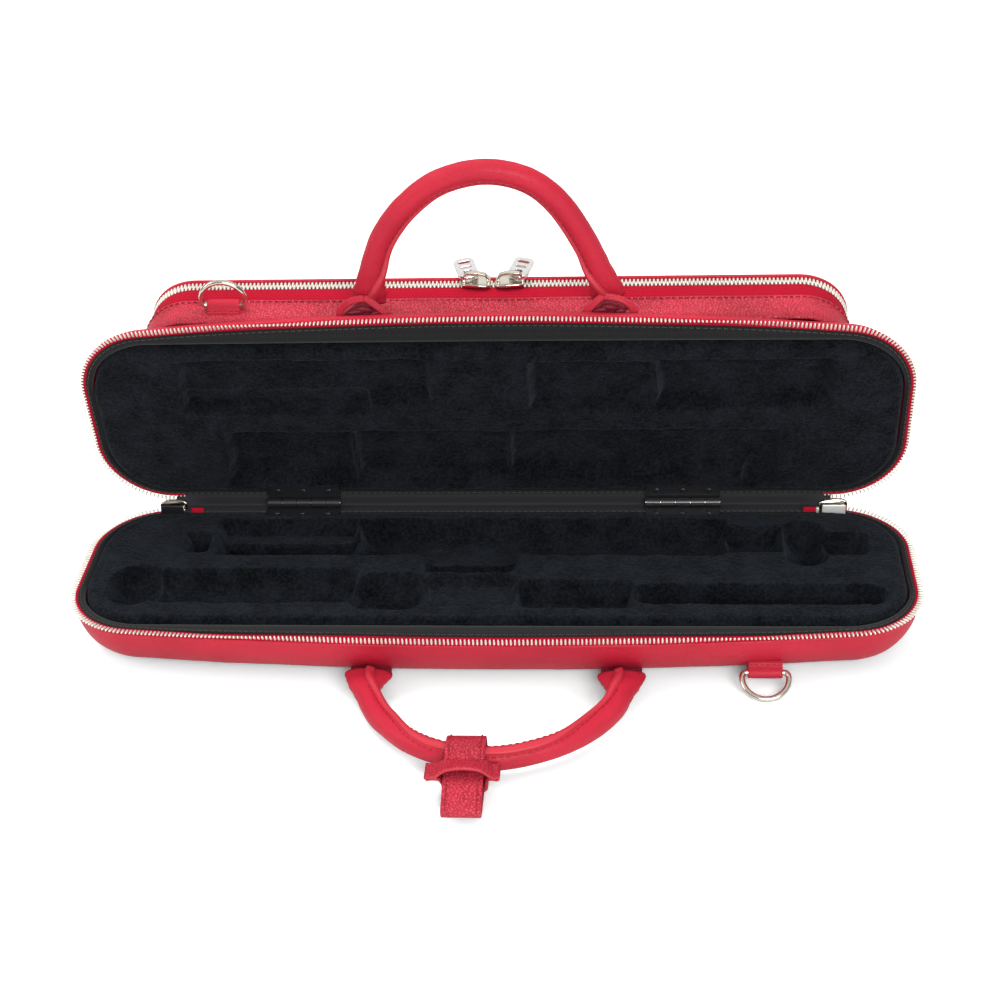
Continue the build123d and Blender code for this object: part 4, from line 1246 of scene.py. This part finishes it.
def make_pull(node, origin, pin, along):
    """Slotted plate with an eye round the pin."""
    tab = rounded(0, 7.5, 10.3, 14.0, 2.9)
    slots = [rounded(0, 11.3, 7.0, 2.3, 1.1), rounded(0, 7.4, 6.6, 1.7, 0.8), rounded(0, 3.3, 4.6, 3.4, 1.1)]
    verts, faces = outline_mesh([tab, *slots], 1.9, 0.3)
    places = set_on(verts, origin, pin, along)
    piece(f"{node}_plate", places, faces, bright, node, [node], smooth=False)
    left_end, right_end = origin - pin * 2.7, origin + pin * 2.7
    eye = [left_end.lerp(right_end, k / 6) for k in range(7)]
    ribbon(f"{node}_eye", eye, along, lambda t: round_section(1.45 if 0.1 < t < 0.9 else 1.25, 14), bright,
           node)


# along the slider's plate, half of its width there
SHIELD = ((-7.0, 2.2), (-6.6, 3.2), (-4.5, 4.0), (0.5, 4.9), (4.5, 5.0), (6.4, 4.2), (7.0, 3.0))
# along the slider, height of the bridge's middle line
BRIDGE = (
    (-6.4, 1.2), (-6.2, 3.8), (-4.8, 5.9), (-1.5, 6.3), (2.0, 6.0), (4.8, 5.0), (6.0, 3.0), (6.2, 1.2)
)


def make_slider(node, origin, x_dir, y_dir, low, high, inner_y, inner_size, inner_mat):
    """Slider: shield-shaped outer plate, arched bridge, and the plate inside the zip on its post."""
    out = x_dir.cross(y_dir)
    middle, share = (low + high) / 2, (high - low) / 10
    points = [(x, middle + half * share) for x, half in SHIELD]
    points += [(x, middle - half * share) for x, half in SHIELD[::-1]]
    verts, faces = outline_mesh([points], 1.9, 0.6)
    verts = [v + Vector((0, 0, 1.25 - 0.0175 * v.x**2)) for v in verts]
    piece(f"{node}_plate", set_on(verts, origin, x_dir, y_dir), faces, nickel, node, [node])
    arch = [origin + x_dir * x + y_dir * middle + out * height for x, height in BRIDGE]
    ribbon(f"{node}_bridge", spread(arch, 0.5), y_dir, flat_section(2.6, 1.1), nickel, node)
    across, down = inner_y
    axes = (x_dir, y_dir, out)
    inner = origin + y_dir * across + out * down
    soft_block(f"{node}_inner", inner, axes, inner_size, 0.5, inner_mat, node)
    post = origin + x_dir * 4.5 + y_dir * across + out * (down / 2)
    soft_block(f"{node}_post", post, axes, (2.4, 0.5, 1.0 - down), 0.15, nickel, node)


for side, sign in (("left", -1), ("right", 1)):
    skin = on_lid(sign * 8.8, POCKET_FRONT, ZIP_MIDDLE)
    make_slider(f"pocket_slider_{side}", skin, X_WAY * -sign, OUT * -sign, -5.0, 5.0, (0.0, -3.1),
                (12, 8.6, 1.1), nickel)
    pin = Vector((0.951057, -sign * 0.304322, -sign * 0.05366))
    along = Vector((sign * 0.307841, 0.917909, 0.250352))
    hole = on_lid(sign * 12.2, POCKET_FRONT, ZIP_MIDDLE) + LID_UP * 3.6
    make_pull(f"pocket_pull_{side}", hole, pin, along)
    skin = Vector((sign * 179.0, BACK, BASE_DEPTH))
    # The main sliders' inner plates are lit and shaded copies: near-white satin as painted highlight at the
    # right end, black lacquer as painted shade at the left end.
    make_slider(f"main_slider_{side}", skin, X_WAY, -Z_WAY, -2.3, 5.0, (0.6, -4.6), (12.4, 6.4, 1.1),
                satin_painted_highlight if sign > 0 else black_metal)
    make_pull(f"main_pull_{side}", skin + Y_WAY * 3.6, X_WAY, Vector((0, 0.139173, -0.990268)))


# --- spine and the ends of the zip ---------------------------------------------------------------
SEAM_NEAR, SEAM_FAR, SEAM_GAP = 4.5, 12.0, 0.55
SPINE = [
    Vector((0, 52.9, 20.7)), Vector((0, 53.92, 28.2)), Vector((0, 59.7, 29.3)),
    on_lid(0, BACK - SEAM_NEAR * DRAFT + SEAM_GAP, SEAM_NEAR),
    on_lid(0, BACK - SEAM_FAR * DRAFT + SEAM_GAP, SEAM_FAR),
]
# the same line at the spine's two ends, drawn in between the halves
SPINE_END = [
    Vector((0, 52.0, 22.0)), Vector((0, 52.5, 28.4)), Vector((0, 55.2, 31.0)), on_lid(0, 52.5, 4.3),
    on_lid(0, 52.0, 10.7),
]


def make_spine(name, half, offset, thick, mat, stands_for):
    """Strip that closes the back between the two halves, shaped for the open lid."""
    path, end_path = smooth_path(SPINE, 50)[0], smooth_path(SPINE_END, 50)[0]
    rows, lengths, steps = [], [], 60
    for i in range(steps + 1):
        x = -half + 2 * half * i / steps
        line = [a.lerp(b, smooth(166, 171, abs(x))) for a, b in zip(path, end_path)]
        layers = []
        for layer in (offset, offset + thick):
            side = []
            for k, spot in enumerate(line):
                ahead = heading(line, k)
                outward = Vector((0, ahead.z, -ahead.y))
                side.append(spot + X_WAY * x + outward * (layer + bumpiness(x, k, layer, 24, 0.12)))
            layers.append(side)
        rows.append(layers[0] + layers[1][::-1])
        lengths.append(x)
    verts, faces, uvs = loft(rows, loop_cols=True, cap_first=True, cap_last=True, lengths=lengths)
    strip = piece(name, verts, faces, mat, None, stands_for, uvs)
    SPINE[1] * MM
    SPINE[3] * MM
    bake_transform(strip)


make_spine("spine_cloth", 178.0, -0.55, 0.5, lining, ["spine"])
make_spine("spine_leather", 166.0, 0.0, 0.7, leather, [])

for side, x in (("left", -165.6), ("right", 166.5)):
    centre = Vector((x, 51.4, 29.6))
    soft_block(f"zip_end_cloth_{side}", centre, UPRIGHT, (7.0, 1.4, 6.0), 0.5, tape_red, "base")
stop = Vector((170.6, 51.2, 30.2))
soft_block("zip_end_stop_bar", stop, UPRIGHT, (1.6, 2.0, 4.8), 0.4, teeth_metal, "base")


# --- hinge screws --------------------------------------------------------------------------------
SCREW_GAP, SCREW_Y, SCREW_DEPTH = 14.0, 49.6, 1.8
for side, centre in (("left", -107.0), ("right", 99.0)):
    for sign in (-1, 0, 1):
        for prefix, up in (("base", Z_WAY), ("lid", -OUT)):
            head = HALVES[prefix](centre + sign * SCREW_GAP, SCREW_Y, SCREW_DEPTH)
            disc = [head - up * 0.4, head + up * 0.15, head + up * 0.4]
            ribbon(f"{prefix}_screw_{side}_{sign + 1}", disc, X_WAY,
                   lambda t: round_section(1.7 - 0.5 * (t > 0.9)), black_metal, prefix)


# --- camera, light and floor ---------------------------------------------------------------------
def aim(obj, place, yaw, pitch, roll):
    """Stand at a place in millimetres and look along yaw and down by pitch, in degrees."""
    y, p, r = radians(yaw), radians(pitch), radians(roll)
    look = Vector((-sin(y) * cos(p), cos(y) * cos(p), -sin(p)))
    right = Vector((cos(y), sin(y), 0))
    up = right.cross(look)
    across = right * cos(r) + up * sin(r)
    above = up * cos(r) - right * sin(r)
    turn = Matrix((across, above, -look)).transposed().to_4x4()
    obj.matrix_world = Matrix.Translation(Vector(place) * MM) @ turn


camera_data = bpy.data.cameras.new("camera")
camera_data.sensor_width = 36.0
camera_data.lens = 66.78
camera_data.clip_start = 0.01
camera = bpy.data.objects.new("camera", camera_data)
bpy.context.scene.collection.objects.link(camera)
aim(camera, (72, -789, 576), 4.85, 32.56, -2.72)
bpy.context.scene.camera = camera


def lamp(name, place, target, size, power, mirrored=True):
    """Flat softbox at a place that faces a target, both in metres."""
    data = bpy.data.lights.new(name, "AREA")
    data.shape = "RECTANGLE"
    data.size, data.size_y = size
    data.energy = power
    obj = bpy.data.objects.new(name, data)
    obj.visible_glossy = mirrored
    bpy.context.scene.collection.objects.link(obj)
    place, target = Vector(place), Vector(target)
    turn = (target - place).to_track_quat("-Z", "Y").to_matrix().to_4x4()
    obj.matrix_world = Matrix.Translation(place) @ turn


lamp("softbox_top", (-0.3, 0.55, 1.4), (0, 0, 0), (1.5, 0.9), 18, False)
lamp("softbox_left", (-1.4, -0.3, 0.8), (0, 0, 0.05), (0.8, 1.0), 6)
lamp("softbox_front", (0.5, -1.6, 1.0), (0, 0, 0.08), (1.4, 0.8), 32)

# The room is darker than the backdrop that the camera sees, with a bright ceiling and back wall.
WHITE = (1.0, 1.0, 1.0)
BACKDROP = 1.05
world = bpy.data.worlds.new("studio")
bpy.context.scene.world = world
world.use_nodes = True
tree = world.node_tree
seen = Val(tree).node("LightPath", out="Is Camera Ray")
way = Val(tree).node("TexCoord", out="Generated")
upward = way.node("SeparateXYZ", {0: way}, out="Z")
backward = upward.other("Y")
room = 0.12 + 0.55 * upward.ramp(0.25, 0.75) + 0.35 * backward.ramp(0.2, 0.7)
sky = tree.nodes["Background"]
put(tree, sky.inputs["Color"], WHITE)
put(tree, sky.inputs["Strength"], room + seen * (BACKDROP - room))

# The camera sees the floor as two matt layers added up, which renders white but keeps the case's shadow.
FLOOR_REACH, FLOOR_GREY, FLOOR_LAYER = 6, 0.75, 0.63
floor_mesh = bpy.data.meshes.new("floor")
floor_corners = [(x * FLOOR_REACH, y * FLOOR_REACH, 0) for x, y in ((-1, -1), (1, -1), (1, 1), (-1, 1))]
floor_mesh.from_pydata(floor_corners, [], [(0, 1, 2, 3)])
floor_mat = bpy.data.materials.new("floor_white")
floor_mat.use_nodes = True
tree = floor_mat.node_tree
plain = tree.nodes["Principled BSDF"]
put(tree, plain.inputs["Base Color"], (FLOOR_GREY,) * 3)
put(tree, plain.inputs["Roughness"], 0.7)
seen = Val(tree).node("LightPath", out="Is Camera Ray")
layers = [seen.node("BsdfDiffuse", {"Color": (FLOOR_LAYER,) * 3}) for _ in range(2)]
both = seen.node("AddShader", enumerate(layers))
lit = seen.node("MixShader", {0: seen, 1: Val(tree, plain.outputs[0]), 2: both})
put(tree, tree.nodes["Material Output"].inputs["Surface"], lit)
floor_mesh.materials.append(floor_mat)
floor_plane = bpy.data.objects.new("floor", floor_mesh)
bpy.context.scene.collection.objects.link(floor_plane)

bpy.context.scene.view_settings.view_transform = "Standard"
